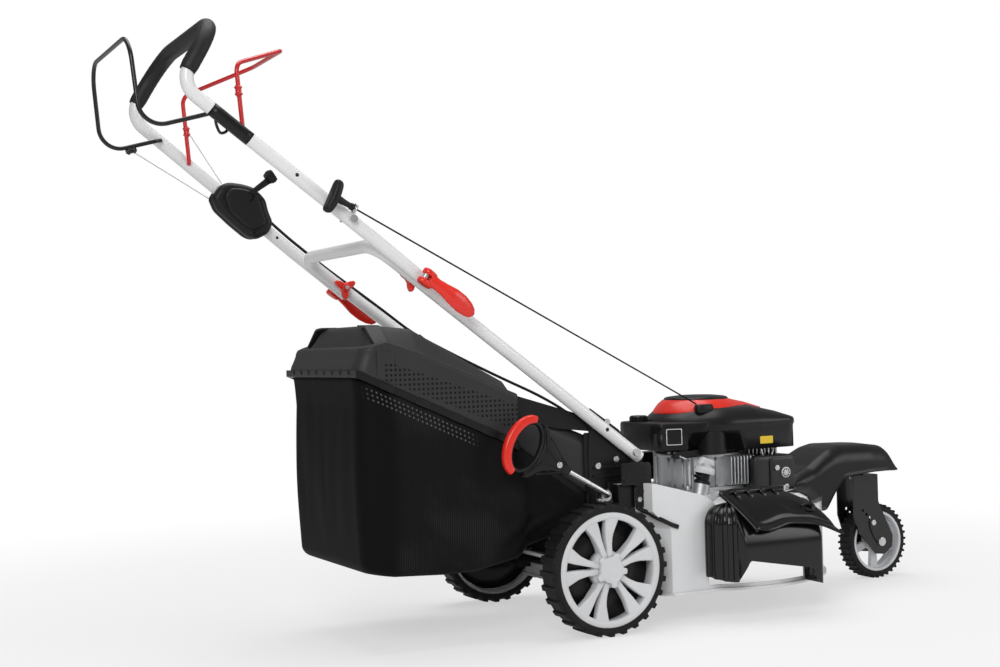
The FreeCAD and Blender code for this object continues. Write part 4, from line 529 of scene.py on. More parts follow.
@dataclass(frozen=True)
class PlainCloth(Finish):
    """Tightly woven black cloth of the bag's rear wall, with painted shade in the creases of its wrinkles.
    """

    def make(self) -> bpy.types.Material:
        """Builds the material.

        Returns:
            The material.
        """
        shading = Shading(self.name, {"Specular IOR Level": 0.1})
        place = shading.place()
        y, z = shading.axis(place, "Y"), shading.axis(place, "Z")
        weave = y.wave(0.0013) * 0.5 + z.wave(0.0013) * 0.5
        wrinkle = shading.noise(place, 9, 4)
        # Colour follows the weave, a pattern, and the wrinkles' relief: painted shade in their creases and
        # painted light on their crests.
        weave_and_wrinkle_shade = weave * 0.5 + wrinkle * 0.5
        colour = self.toned(shading, weave_and_wrinkle_shade, 0.7, 1.5)
        return shading.finish(colour, wrinkle * 0.1 + 0.68, weave * 0.08 + wrinkle, 0.0005, 0.001)


class Palette:
    """Every finish of the mower, built once."""

    def __init__(self) -> None:
        """Builds the materials."""
        self.white_paint = Paint("white_paint", (0.80, 0.805, 0.815), 0.24).make()
        self.tube_paint = Paint("tube_paint", (0.80, 0.80, 0.805), 0.34, edge=0.0004).make()
        self.black_paint = Paint("black_paint", (0.006, 0.006, 0.0065), 0.32, specular=0.35).make()
        self.dark_paint = Paint("dark_paint", (0.010, 0.010, 0.010), 0.45, specular=0.35).make()
        self.red_paint = Paint("red_paint", (0.60, 0.007, 0.010), 0.28).make()
        self.black_plastic = Moulded("black_plastic", (0.008, 0.008, 0.0085), 0.42).make()
        self.satin_black = Moulded("satin_black", (0.008, 0.008, 0.009), 0.34, 0.000007).make()
        self.gloss_black = Moulded("gloss_black", (0.005, 0.005, 0.0055), 0.2, 0.000002, 0.4).make()
        self.lid = VentedLid("lid_plastic", (0.026, 0.0265, 0.028)).make()
        self.red_plastic = Moulded("red_plastic", (0.78, 0.024, 0.012), 0.3, 0.000005, 0.5).make()
        self.rim_plastic = Moulded("rim_plastic", (0.68, 0.685, 0.695), 0.4, 0.000006, 0.45).make()
        self.silver_plastic = Moulded("silver_plastic", (0.62, 0.63, 0.65), 0.35, 0.000005, 0.45).make()
        self.yellow = Moulded("plate_yellow", (0.80, 0.55, 0.03), 0.45, 0.000004, 0.4).make()
        self.zinc = BareMetal("zinc", (0.66, 0.66, 0.67), 0.32).make()
        self.dark_steel = BareMetal("dark_steel", (0.18, 0.18, 0.19), 0.45).make()
        self.cast = BareMetal("cast_aluminium", (0.60, 0.61, 0.62), 0.46, 420, depth=0.00006).make()
        self.tyre = Rubber("tyre_rubber", (0.009, 0.009, 0.0095)).make()
        self.belt = Rubber("belt_rubber", (0.012, 0.012, 0.012), 1400).make()
        self.cable = Moulded("cable_jacket", (0.006, 0.006, 0.0065), 0.4).make()
        self.foam = Foam("grip_foam", (0.006, 0.006, 0.0065)).make()
        self.rope = Braid("starter_cord", (0.010, 0.010, 0.0105)).make()
        self.bag = BagCloth("bag_mesh", (0.0042, 0.0042, 0.0045)).make()
        self.plain_cloth = PlainCloth("rear_cloth", (0.0052, 0.0052, 0.0055)).make()


# ---------------------------------------------------------------------------------------
# Surfaces
# ---------------------------------------------------------------------------------------
def grid_piece(name: str, points: np.ndarray, closed: bool, material: bpy.types.Material,
               cloth_map: np.ndarray | None = None) -> bpy.types.Object:
    """Makes a mesh from a grid of points.

    Faces join neighbours in both directions.  A closed grid joins its last column to its
    first; where its last row lies on its first it is a ring, and otherwise its first and last
    rows become end faces.

    Args:
        name: the piece's name.
        points: rows x columns x 3, in millimetres.
        closed: whether the last column joins the first.
        material: the finish.
        cloth_map: rows x columns x 2 coordinates in metres for the surface map.

    Returns:
        The new object, at the origin.
    """
    ring = closed and np.allclose(points[0], points[-1])
    if ring:
        points = points[:-1]
    rows, columns = points.shape[:2]
    index = np.arange(rows * columns).reshape(rows, columns)
    ends = [] if ring or not closed else [index[0, ::-1].tolist(), index[-1].tolist()]
    if closed:
        index = np.concatenate([index, index[:, :1]], axis=1)
    if ring:
        index = np.concatenate([index, index[:1]], axis=0)
    faces = np.stack([index[:-1, :-1], index[:-1, 1:], index[1:, 1:], index[1:, :-1]], axis=-1)
    mesh = bpy.data.meshes.new(name)
    mesh.from_pydata((points.reshape(-1, 3) * MM).tolist(), [], faces.reshape(-1, 4).tolist() + ends)
    if cloth_map is not None:
        flat = cloth_map.reshape(-1, 2)
        loops = np.zeros(len(mesh.loops), np.int32)
        mesh.loops.foreach_get("vertex_index", loops)
        layer = mesh.uv_layers.new(name="surface")
        layer.data.foreach_set("uv", flat[loops].astype(np.float32).ravel())
    work = bmesh.new()
    work.from_mesh(mesh)
    bmesh.ops.remove_doubles(work, verts=work.verts, dist=0.01 * MM)
    bmesh.ops.recalc_face_normals(work, faces=work.faces)
    work.to_mesh(mesh)
    work.free()
    mesh.polygons.foreach_set("use_smooth", np.ones(len(mesh.polygons), bool))
    mesh.materials.append(material)
    mesh.validate()
    made = bpy.data.objects.new(name, mesh)
    bpy.context.scene.collection.objects.link(made)
    return made


def modify(piece: bpy.types.Object, kind: str, **settings: object) -> bpy.types.Object:
    """Adds a modifier.

    Args:
        piece: the piece it acts on.
        kind: its type.
        settings: its settings by name.

    Returns:
        The same piece.
    """
    modifier = piece.modifiers.new(kind.title(), kind)
    for word, value in settings.items():
        setattr(modifier, word, value)
    return piece


def rows_between(stations: np.ndarray, places: np.ndarray) -> np.ndarray:
    """Straight-line values of every column of a table of stations at the given places.

    Args:
        stations: rows whose first column is the place along the piece.
        places: where the values are wanted.

    Returns:
        One row of values for each place.
    """
    return np.stack([np.interp(places, stations[:, 0], column) for column in stations.T], axis=1)


def smoothed(rows: np.ndarray, passes: int) -> np.ndarray:
    """Evens rows out: each pass gives a row half its own value and a quarter of each neighbour's.

    Args:
        rows: a table of values.
        passes: how often it is evened out.

    Returns:
        The table, its first and last rows as they were.
    """
    for _ in range(passes):
        middle = (rows[:-2] + 2 * rows[1:-1] + rows[2:]) / 4
        rows = np.concatenate([rows[:1], middle, rows[-1:]])
    return rows


def soft_corners(profile: np.ndarray, radius: float, steps: int = 4, most: float = 0.48) -> np.ndarray:
    """Turns the corners of many open outlines into arcs.

    Each arc is a rational quadratic through the corner's control point, whose middle weight
    is the cosine of half the turn, which makes it part of a circle.  It starts and ends a
    radius away from the corner, or a share of the shorter side if that is less.

    Args:
        profile: rows x corners x 2 or 3.
        radius: how far from the corner the arc starts.
        steps: points on each arc.
        most: the largest share of a side that an arc takes.

    Returns:
        rows x points x 2 or 3.
    """
    before, corner, after = profile[:, :-2], profile[:, 1:-1], profile[:, 2:]
    back, ahead = before - corner, after - corner
    back_length = np.maximum(np.linalg.norm(back, axis=2, keepdims=True), 1e-6)
    ahead_length = np.maximum(np.linalg.norm(ahead, axis=2, keepdims=True), 1e-6)
    reach = np.minimum(radius, most * np.minimum(back_length, ahead_length))
    back, ahead = back / back_length, ahead / ahead_length
    weight = np.sqrt(np.clip((1 - (back * ahead).sum(axis=2, keepdims=True)) / 2, 0, 1))[:, :, None]
    start, end = (corner + back * reach)[:, :, None], (corner + ahead * reach)[:, :, None]
    share = np.linspace(0, 1, steps)[None, None, :, None]
    first, middle, last = (1 - share) ** 2, 2 * share * (1 - share) * weight, share ** 2
    arcs = (first * start + middle * corner[:, :, None] + last * end) / (first + middle + last)
    arcs = arcs.reshape(len(profile), -1, profile.shape[2])
    return np.concatenate([profile[:, :1], arcs, profile[:, -1:]], axis=1)


def soft_outline(corners: Sequence[Sequence[float]], radius: float, steps: int = 3) -> np.ndarray:
    """A closed flat outline with its corners turned into arcs.

    Args:
        corners: its corners in order.
        radius: how far from a corner the arc starts.
        steps: points on each arc.

    Returns:
        The outline's points.
    """
    corners = np.asarray(corners, float)
    join = (corners[:1] + corners[-1:]) / 2
    return soft_corners(np.concatenate([join, corners, join])[None], radius, steps)[0][:-1]


def spread(profile: np.ndarray, count: int) -> np.ndarray:
    """Evens out the points of many open outlines at once.

    All rows share one set of places, worked out from the mean length of each run, so a
    column keeps to the same feature all along the piece.

    Args:
        profile: rows x points x 2 or 3.
        count: points wanted in each row.

    Returns:
        rows x count x 2 or 3.
    """
    runs = np.linalg.norm(np.diff(profile, axis=1), axis=2).mean(axis=0)
    share = np.concatenate([[0], np.cumsum(runs)]) / runs.sum()
    places = np.linspace(0, 1, count)
    index = np.clip(np.searchsorted(share, places, side="right") - 1, 0, len(share) - 2)
    width = np.maximum(share[index + 1] - share[index], 1e-9)
    ahead = ((places - share[index]) / width)[None, :, None]
    return profile[:, index] * (1 - ahead) + profile[:, index + 1] * ahead


def curve(points: Sequence[Sequence[float]], count: int) -> np.ndarray:
    """A smooth line through points.

    Between neighbours it is the cubic whose slope at each point is that of the chord between
    the points on either side.

    Args:
        points: the points, flat or in space.
        count: how many evenly spaced places are wanted along the chords.

    Returns:
        One point for each place.
    """
    points = np.asarray(points, float)
    chord = np.concatenate([[0], np.cumsum(np.linalg.norm(np.diff(points, axis=0), axis=1))])
    knots = chord / chord[-1]
    slopes = np.gradient(points, knots, axis=0)
    places = np.linspace(0, 1, count)
    index = np.clip(np.searchsorted(knots, places, side="right") - 1, 0, len(points) - 2)
    width = (knots[index + 1] - knots[index])[:, None]
    t = (places - knots[index])[:, None] / width
    rise = 3 * t ** 2 - 2 * t ** 3
    leaving, arriving = (t ** 3 - 2 * t ** 2 + t) * width, (t ** 3 - t ** 2) * width
    return ((1 - rise) * points[index] + rise * points[index + 1]
            + leaving * slopes[index] + arriving * slopes[index + 1])


def corner_rows(*corners: Sequence[np.ndarray | float]) -> np.ndarray:
    """Makes rows of flat corners whose parts are numbers or change along the piece.

    Args:
        corners: the two parts of each corner, at least one of them an array.

    Returns:
        rows x corners x 2.
    """
    parts = np.broadcast_arrays(*[part for corner in corners for part in corner])
    return np.stack(parts, axis=1).reshape(len(parts[0]), len(corners), 2)


def mirrored(half: np.ndarray) -> np.ndarray:
    """Joins half outlines that end on the middle plane to their mirror images."""
    return np.concatenate([half, (half[:, ::-1] * (-1, 1))[:, 1:]], axis=1)


def across(x: np.ndarray, outlines: np.ndarray) -> np.ndarray:
    """Stands one (Y, Z) outline across the mower at each X."""
    return np.concatenate([np.repeat(x[:, None, None], outlines.shape[1], 1), outlines], axis=2)


def level(flat: np.ndarray, height: np.ndarray | float) -> np.ndarray:
    """Lifts flat points to one height, or each to its own."""
    return np.column_stack([flat, np.broadcast_to(height, len(flat))])


def full_turn(sides: int) -> np.ndarray:
    """Evenly spaced angles round a circle."""
    return np.linspace(0, math.tau, sides, endpoint=False)


def polar(radius: np.ndarray | float, angle: np.ndarray) -> np.ndarray:
    """Flat points at the given radii and angles."""
    return np.stack([radius * np.cos(angle), radius * np.sin(angle)], axis=1)


def circle_path(centre: Sequence[float], radius: float, sides: int) -> np.ndarray:
    """A level circle whose last point lies on its first."""
    return np.asarray(centre, float) + level(polar(radius, np.linspace(0, math.tau, sides + 1)), 0)


def swollen(section: np.ndarray, width: np.ndarray, depth: np.ndarray | float) -> np.ndarray:
    """One copy of a section for each path point, stretched by that point's width and depth."""
    return section * np.stack(np.broadcast_arrays(width, depth), axis=1)[:, None]


def loft(path: np.ndarray, sections: np.ndarray, side: np.ndarray, top: np.ndarray) -> np.ndarray:
    """Sets sections on a path's points, along a side and a top direction."""
    return path[:, None] + sections[..., :1] * side + sections[..., 1:] * top


def bar_grid(path: np.ndarray, section: np.ndarray, up: Sequence[float]) -> np.ndarray:
    """Carries a flat section along a path.

    At each point the section's first axis lies along up crossed with the path's direction,
    and its second axis lies square to both.

    Args:
        path: points x 3 in millimetres.
        section: outline points x 2 in millimetres, or one such outline for each path point.
        up: a direction that is never along the path.

    Returns:
        path points x outline points x 3.
    """
    path = np.asarray(path, float)
    tangent = np.gradient(path, axis=0)
    if np.allclose(path[0], path[-1]):
        tangent[0] = tangent[-1] = path[1] - path[-2]
    tangent /= np.linalg.norm(tangent, axis=1, keepdims=True)
    side = np.cross(np.asarray(up, float), tangent)
    side /= np.linalg.norm(side, axis=1, keepdims=True)
    top = np.cross(tangent, side)
    return loft(path, section, side[:, None], top[:, None])


def capped(points: np.ndarray) -> np.ndarray:
    """Adds rows at both ends of a tube-like grid that shrink to the end's middle.

    Args:
        points: rows x columns x 3.

    Returns:
        The grid with two more rows at each end.
    """
    first, last = points[:1], points[-1:]
    first_middle = first.mean(axis=1, keepdims=True)
    last_middle = last.mean(axis=1, keepdims=True)
    starts = [first_middle + (first - first_middle) * share for share in (0.05, 0.85)]
    ends = [last_middle + (last - last_middle) * share for share in (0.85, 0.05)]
    return np.concatenate([*starts, points, *ends], axis=0)


def pillow(outline: np.ndarray, low: float, high: float, rounding: float, steps: int = 4) -> np.ndarray:
    """A plate with rounded edges on a flat outline.

    Rings run from the middle of the low face to its edge, round the edge by a quarter of a
    circle, up the wall and back over the high face.  On the quarter circle a ring lies inside
    the outline, along the outline's normals.

    Args:
        outline: closed outline, points x 2.
        low: height of the low face.
        high: height of the high face.
        rounding: radius of the edges.
        steps: rings on each quarter circle.

    Returns:
        rings x points x 3.
    """
    outline = np.asarray(outline, float)
    along = np.roll(outline, -1, axis=0) - np.roll(outline, 1, axis=0)
    normal = np.stack([along[:, 1], -along[:, 0]], axis=1)
    normal /= np.linalg.norm(normal, axis=1, keepdims=True)
    middle = outline.mean(axis=0)
    normal *= np.sign(((outline - middle) * normal).sum())
    turn = np.linspace(0, math.pi / 2, steps)
    rings = outline[None] - normal[None] * (rounding * (1 - np.sin(turn)))[:, None, None]
    faces = [middle + (rings[0] - middle) * share for share in (0.04, 0.6)]
    flat = np.concatenate([np.stack(faces), rings])
    rise = np.concatenate([[0, 0], rounding * (1 - np.cos(turn))])[:, None, None]
    lower = np.concatenate([flat, low + rise + 0 * flat[..., :1]], axis=2)
    upper = np.concatenate([flat, high - rise + 0 * flat[..., :1]], axis=2)
    return np.concatenate([lower, upper[::-1]])


def placed(shape: np.ndarray, origin: Sequence[float], right: Sequence[float], up: Sequence[float],
           out: Sequence[float]) -> np.ndarray:
    """Puts a shape's own (right, up, out) places into the frame."""
    axes = np.stack([np.asarray(axis, float) for axis in (right, up, out)])
    return np.asarray(origin, float) + shape @ axes


def round_section(radius: float, sides: int = 20) -> np.ndarray:
    """A circle's points."""
    return polar(radius, full_turn(sides))


def egg(half: float, back: float, ahead: float, sides: int = 32) -> np.ndarray:
    """An ellipse whose half lengths behind and ahead of its middle differ.

    Args:
        half: half width.
        back: half length behind.
        ahead: half length ahead.
        sides: number of points.

    Returns:
        The outline's points.
    """
    circle = round_section(1, sides)
    length = np.where(circle[:, :1] > 0, ahead, back)
    return circle * np.concatenate([length, 0 * length + half], axis=1)


def box_section(width: float, height: float, power: float = 5.0, sides: int = 32) -> np.ndarray:
    """A rectangle with soft corners: a superellipse of the given power."""
    circle = round_section(1, sides)
    return np.sign(circle) * np.abs(circle) ** (2 / power) * (width / 2, height / 2)


def dress(material: bpy.types.Material, *names: str) -> None:
    """Gives CAD nodes a finish.

    Args:
        material: the finish.
        names: the nodes.
    """
    for name in names:
        node = frame["nodes"][name]
        if not node.material_slots:
            node.data.materials.append(material)
        for slot in node.material_slots:
            slot.material = material


# ---------------------------------------------------------------------------------------
# Sub-assemblies
# ---------------------------------------------------------------------------------------
@dataclass
class Assembly:
    """One sub-assembly: shorthand for adding pieces to the body that most of them ride."""

    palette: Palette
    body: str = "chassis"

    def add(self, name: str, points: np.ndarray, material: bpy.types.Material, slot: str,
            body: str = "", replaces: str = "", closed: bool = True,
            cloth_map: np.ndarray | None = None) -> bpy.types.Object:
        """Makes a piece from a grid and fixes it to a body.

        Args:
            name: the piece's name.
            points: rows x columns x 3 in millimetres.
            material: the finish.
            slot: the record's material slot; not used.
            body: the moving body that it rides, where that is not the sub-assembly's own.
            replaces: the CAD node that it stands for, if any.
            closed: whether the last column joins the first.
            cloth_map: rows x columns x 2 coordinates in metres for the surface map.

        Returns:
            The new object.
        """
        piece = grid_piece(name, points, closed, material, cloth_map)
        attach(piece, body or self.body)
        if replaces:
            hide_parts(replaces)
        return piece

    def sheet(self, name: str, points: np.ndarray, thickness: float, material: bpy.types.Material, slot: str,
              **more: object) -> bpy.types.Object:
        """Adds an open surface with a thickness, half of it on each side."""
        piece = self.add(name, points, material, slot, closed=False, **more)
        return modify(piece, "SOLIDIFY", thickness=thickness * MM, offset=0.0)

    def bar(self, name: str, path: np.ndarray, section: np.ndarray, up: Sequence[float],
            material: bpy.types.Material, slot: str, **more: str) -> bpy.types.Object:
        """Adds a section carried along a path, with closed ends."""
        return self.add(name, capped(bar_grid(path, section, up)), material, slot, **more)

    def plate(self, name: str, shape: np.ndarray, origin: Sequence[float], axes: Sequence[Sequence[float]],
              material: bpy.types.Material, slot: str, **more: str) -> bpy.types.Object:
        """Adds a shape that is given in its own right, up and out axes."""
        return self.add(name, placed(shape, origin, *axes), material, slot, **more)

    def bolt(self, name: str, origin: Sequence[float], axes: Sequence[Sequence[float]], radius: float,
             height: float, edge: float = 1.0, body: str = "") -> None:
        """Adds the hexagon head of a zinc-plated bolt."""
        head = pillow(round_section(radius, 6), 0, height, edge)
        self.plate(name, head, origin, axes, self.palette.zinc, "zinc_steel", body=body)


@dataclass
class GrassBag(Assembly):
    """Hard lid with its vents, frame band with clips, and the mesh bag."""

    body: str = "grass_bag"
    half: float = 190.0
    rear: float = -476.0
    front: float = 9.0
    knee: float = -172.0
    neck: float = 167.7
    step: float = -150.0
    band: float = 13.0
    band_heights: Sequence[float] = (521.0, 386.0, 266.0)
    lid_wall: float = 2.6
    floor_corner: float = 17.0

    def band_height(self, x: np.ndarray | float) -> np.ndarray:
        """Height of the joint between lid and bag: two straight slopes that meet at the knee."""
        return np.interp(x, [self.rear, self.knee, self.front], self.band_heights)

    def floor_height(self, x: np.ndarray) -> np.ndarray:
        """Height of the bag's floor, which hangs lowest behind its middle."""
        stations = [self.rear, -460, -406, -306, -240, self.step, -124, self.front]
        return np.interp(x, stations, [158, 150, 141, 136, 137, 154, 170, 207])

    def loops(self, half: np.ndarray, neck: np.ndarray, rear: np.ndarray, front: np.ndarray,
              corner: float, count: int) -> np.ndarray:
        """Level outlines that run from the mouth's right side round the rear to its left side.

        Args:
            half: half width of each loop.
            neck: half width at the mouth.
            rear: X of the rear wall.
            front: X of the ends.
            corner: how far from the corners their arcs start.
            count: points on each loop.

        Returns:
            loops x points x 2.
        """
        near = [(front, -neck), (self.step + 26, -neck), (self.step, -half), (rear, -half)]
        if front[0] <= self.step:
            near = near[:1] + near[3:]
        right = corner_rows(*near)
        outline = np.concatenate([right, right[:, ::-1] * (1, -1)], axis=1)
        return spread(soft_corners(outline, corner, 9), count)

    def cloth(self) -> None:
        """The bag as one shell: walls that hang from the rim, a soft corner, and the floor.

        Row by row the loop goes down the wall, turns inward on a quarter circle and closes
        along the middle of the floor.  The wall is then pushed in along the loop's normal: it
        bows between rim and floor, waves with loose creases, and folds where it meets the
        wheel.
        """
        turn = np.linspace(0, math.pi / 2, 9)[1:]
        wall = np.linspace(0, 1, 44)
        radius = self.floor_corner
        inset = np.concatenate([0 * wall, radius * (1 - np.cos(turn)), [radius] * 5])
        drop = np.concatenate([0 * wall, radius * np.sin(turn), [radius] * 5])
        share = np.concatenate([wall, 1 + 0 * turn, [1.0] * 5])
        narrow = np.concatenate([1 + 0 * wall, 1 + 0 * turn, [0.8, 0.6, 0.4, 0.2, 0.0]])
        tuck = 9 * np.clip(share / 0.16, 0, 1) ** 0.7
        loops = self.loops(self.half - 2 - inset, self.neck - 0.5 - inset, self.rear + 1.5 + tuck + inset,
                           self.front + 0 * share, 34, 281)
        along = np.gradient(loops, axis=1)
        normal = np.stack([along[..., 1], -along[..., 0]], axis=2)
        normal /= np.maximum(np.linalg.norm(normal, axis=2, keepdims=True), 1e-6)
        run = np.cumsum(np.linalg.norm(np.diff(loops[0], axis=0, prepend=loops[0][:1]), axis=1))
        run = np.abs(run - run[-1] / 2)[None]
        down = share[:, None]
        mouth = np.clip((run.max() - run) / 120, 0, 1)
        free = np.sin(math.pi * np.clip(down, 0, 1)) * mouth
        bow = 6 * free
        crease = 0.8 * np.sin(run * 0.065 + down * 5) * np.sin(run * 0.024 - down * 3) * free
        folds = 3.6 * np.sin(down * 23 + run * 0.07) * np.exp(-((run - 500) / 62) ** 2) \
            * np.exp(-((down - 0.86) / 0.14) ** 2)
        loops = loops - normal * (bow + crease + folds)[..., None] * (narrow[:, None, None] > 0.99)
        loops[..., 1] *= narrow[:, None]
        rim = self.band_height(loops[..., 0]) - self.band + 0.5
        low = self.floor_height(loops[..., 0])
        height = rim * (1 - down) + (low + radius) * down - drop[:, None]
        points = np.concatenate([loops, height[..., None]], axis=2)
        depth = rim[:1] - height
        cloth_map = np.stack([np.broadcast_to(run, depth.shape), depth], axis=2) * MM
        self.sheet("bag_mesh_cloth", points, 1.4, self.palette.bag, "bag_mesh", replaces="bag_fabric",
                   cloth_map=cloth_map)

    def lid(self) -> None:
        """The lid: a wall, a raised lip with a groove behind it, and a plateau with soft edges.

        Each row is a level loop moved in by its own inset, more at the rear than at the sides.
        Its height follows the wall's crease or the plateau, which both change along the bag.
        """
        table = np.array([
            # side inset, rear inset, share from band to crease, share from crease to top, extra height
            (0, 0, 0, 0, 0), (0.5, 2, 0.3, 0, 0), (2, 11, 0.86, 0, 0), (1, 12, 0.97, 0, 0),
            (3, 15, 1, 0, 4), (10, 21, 1, 0, 6), (15, 25, 1, 0, 4), (18, 27, 1, 0, -2),
            (24, 31, 1, 0, 0), (30, 34, 1, 0.12, 0), (60, 46, 1, 0.84, 0), (66, 50, 1, 0.96, 0),
            (74, 58, 1, 1, 0.5), (90, 70, 1, 1, 1), (130, 100, 1, 1, 1.5), (189, 130, 1, 1, 1.5),
        ])
        places = np.linspace(0, len(table) - 1, 3 * len(table) - 2)
        rows = rows_between(np.column_stack([np.arange(len(table)), table]), places)[:, 1:]
        loops = self.loops(self.half - rows[:, 0], self.half - rows[:, 0], self.rear + rows[:, 1],
                           self.step + 0 * places, 26, 201)
        x = loops[..., 0]
        band = self.band_height(x)
        crease = np.interp(x, [self.rear, -460, -416, -340, self.knee, self.step],
                           [549, 556, 566, 541, 470, 461])
        top = np.interp(x, [self.rear, -452, -430, -416, -340, self.knee, self.step],
                        [566, 583, 599, 602, 594, 502, 490])
        height = band + (crease - band) * rows[:, 2:3] + (top - crease) * rows[:, 3:4] + rows[:, 4:5]
        points = np.concatenate([loops, height[..., None]], axis=2)
        self.sheet("lid_hood", points, self.lid_wall, self.palette.lid, "black_plastic", replaces="bag_lid")
        share = np.linspace(0, 1, 5)[None, :, None]
        end = points[:, :1] * (1 - share) + points[:, -1:] * share
        self.sheet("lid_end", end, self.lid_wall, self.palette.lid, "black_plastic")

    def neck_hood(self) -> None:
        """The low front of the lid: upright sides, soft shoulders and a flat top that slopes."""
        x = np.linspace(self.step - 1, self.front, 40)
        top = np.interp(x, [self.step, self.front], [446, 382])
        corners = corner_rows((self.neck, self.band_height(x)), (self.neck, top - 22),
                              (self.neck - 3, top - 18), (self.neck - 10, top - 2), (self.neck - 30, top),
                              (0, top))
        outline = mirrored(spread(soft_corners(corners, 7, 5), 40))
        self.sheet("lid_neck", across(x, outline), 2.4, self.palette.lid, "black_plastic")

    def lid_blocks(self) -> None:
        """A raised pad at each rear corner of the lid: it runs up the side and over the shoulder."""
        x = np.linspace(-436, -402, 6)
        corners = corner_rows((190.5, self.band_height(x) + 4), (190.5, 556 - (x + 416) * 0.2), (130, 601.5),
                              (96, 603))
        profile = soft_corners(corners, 9, 5)
        for side in Side:
            piece = self.sheet("lid_block_" + side.word, across(x, profile * (side.value, 1)), 4,
                               self.palette.lid, "black_plastic")
            modify(piece, "BEVEL", width=1.2 * MM, segments=2)

    def clips(self) -> None:
        """Small hooks that hold the bag's rim on the frame band, and scallops round the rear."""
        finish = (self.palette.black_plastic, "black_plastic")
        slope = math.atan2(self.band_heights[1] - self.band_heights[0], self.knee - self.rear)
        along = np.array((math.cos(slope), 0, math.sin(slope)))
        up = np.array((-math.sin(slope), 0, math.cos(slope)))
        hook = pillow(soft_outline([(-15, -9), (15, -9), (13, 3), (-13, 3)], 2), -1.5, 2.2, 1.2)
        for index, (side, x) in enumerate(product(Side, (-417, -346, -277, -211))):
            origin = (x, side.value * (self.half + 1.2), float(self.band_height(x)) - 4)
            self.plate("bag_clip_%d" % index, hook, origin, (along, up, LEFT * side.value), *finish)
        scallop = pillow(soft_outline([(-7, -4), (7, -4), (6, 5), (-6, 5)], 2), -1.5, 1.5, 1)
        for index, y in enumerate(np.linspace(-150, 150, 8)):
            self.plate("rear_clip_%d" % index, scallop, (self.rear - 2.0, y, 517.0),
                       (LEFT, UP, -AHEAD), *finish)

    def loop_tab(self) -> None:
        """A sewn hand loop on the rear wall."""
        tab = pillow(soft_outline([(-38, -17), (38, -17), (38, 17), (-38, 17)], 3), 0, 1.6, 0.6)
        self.plate("bag_hand_loop", tab, (self.rear + 14.5, -60, 390), (-LEFT, UP, -AHEAD),
                   self.palette.plain_cloth, "bag_mesh")

    def build(self) -> None:
        """Builds the bag and puts it on its body."""
        dress(self.palette.satin_black, "bag_frame")
        self.cloth()
        self.lid()
        self.neck_hood()
        self.lid_blocks()
        self.clips()
        self.loop_tab()


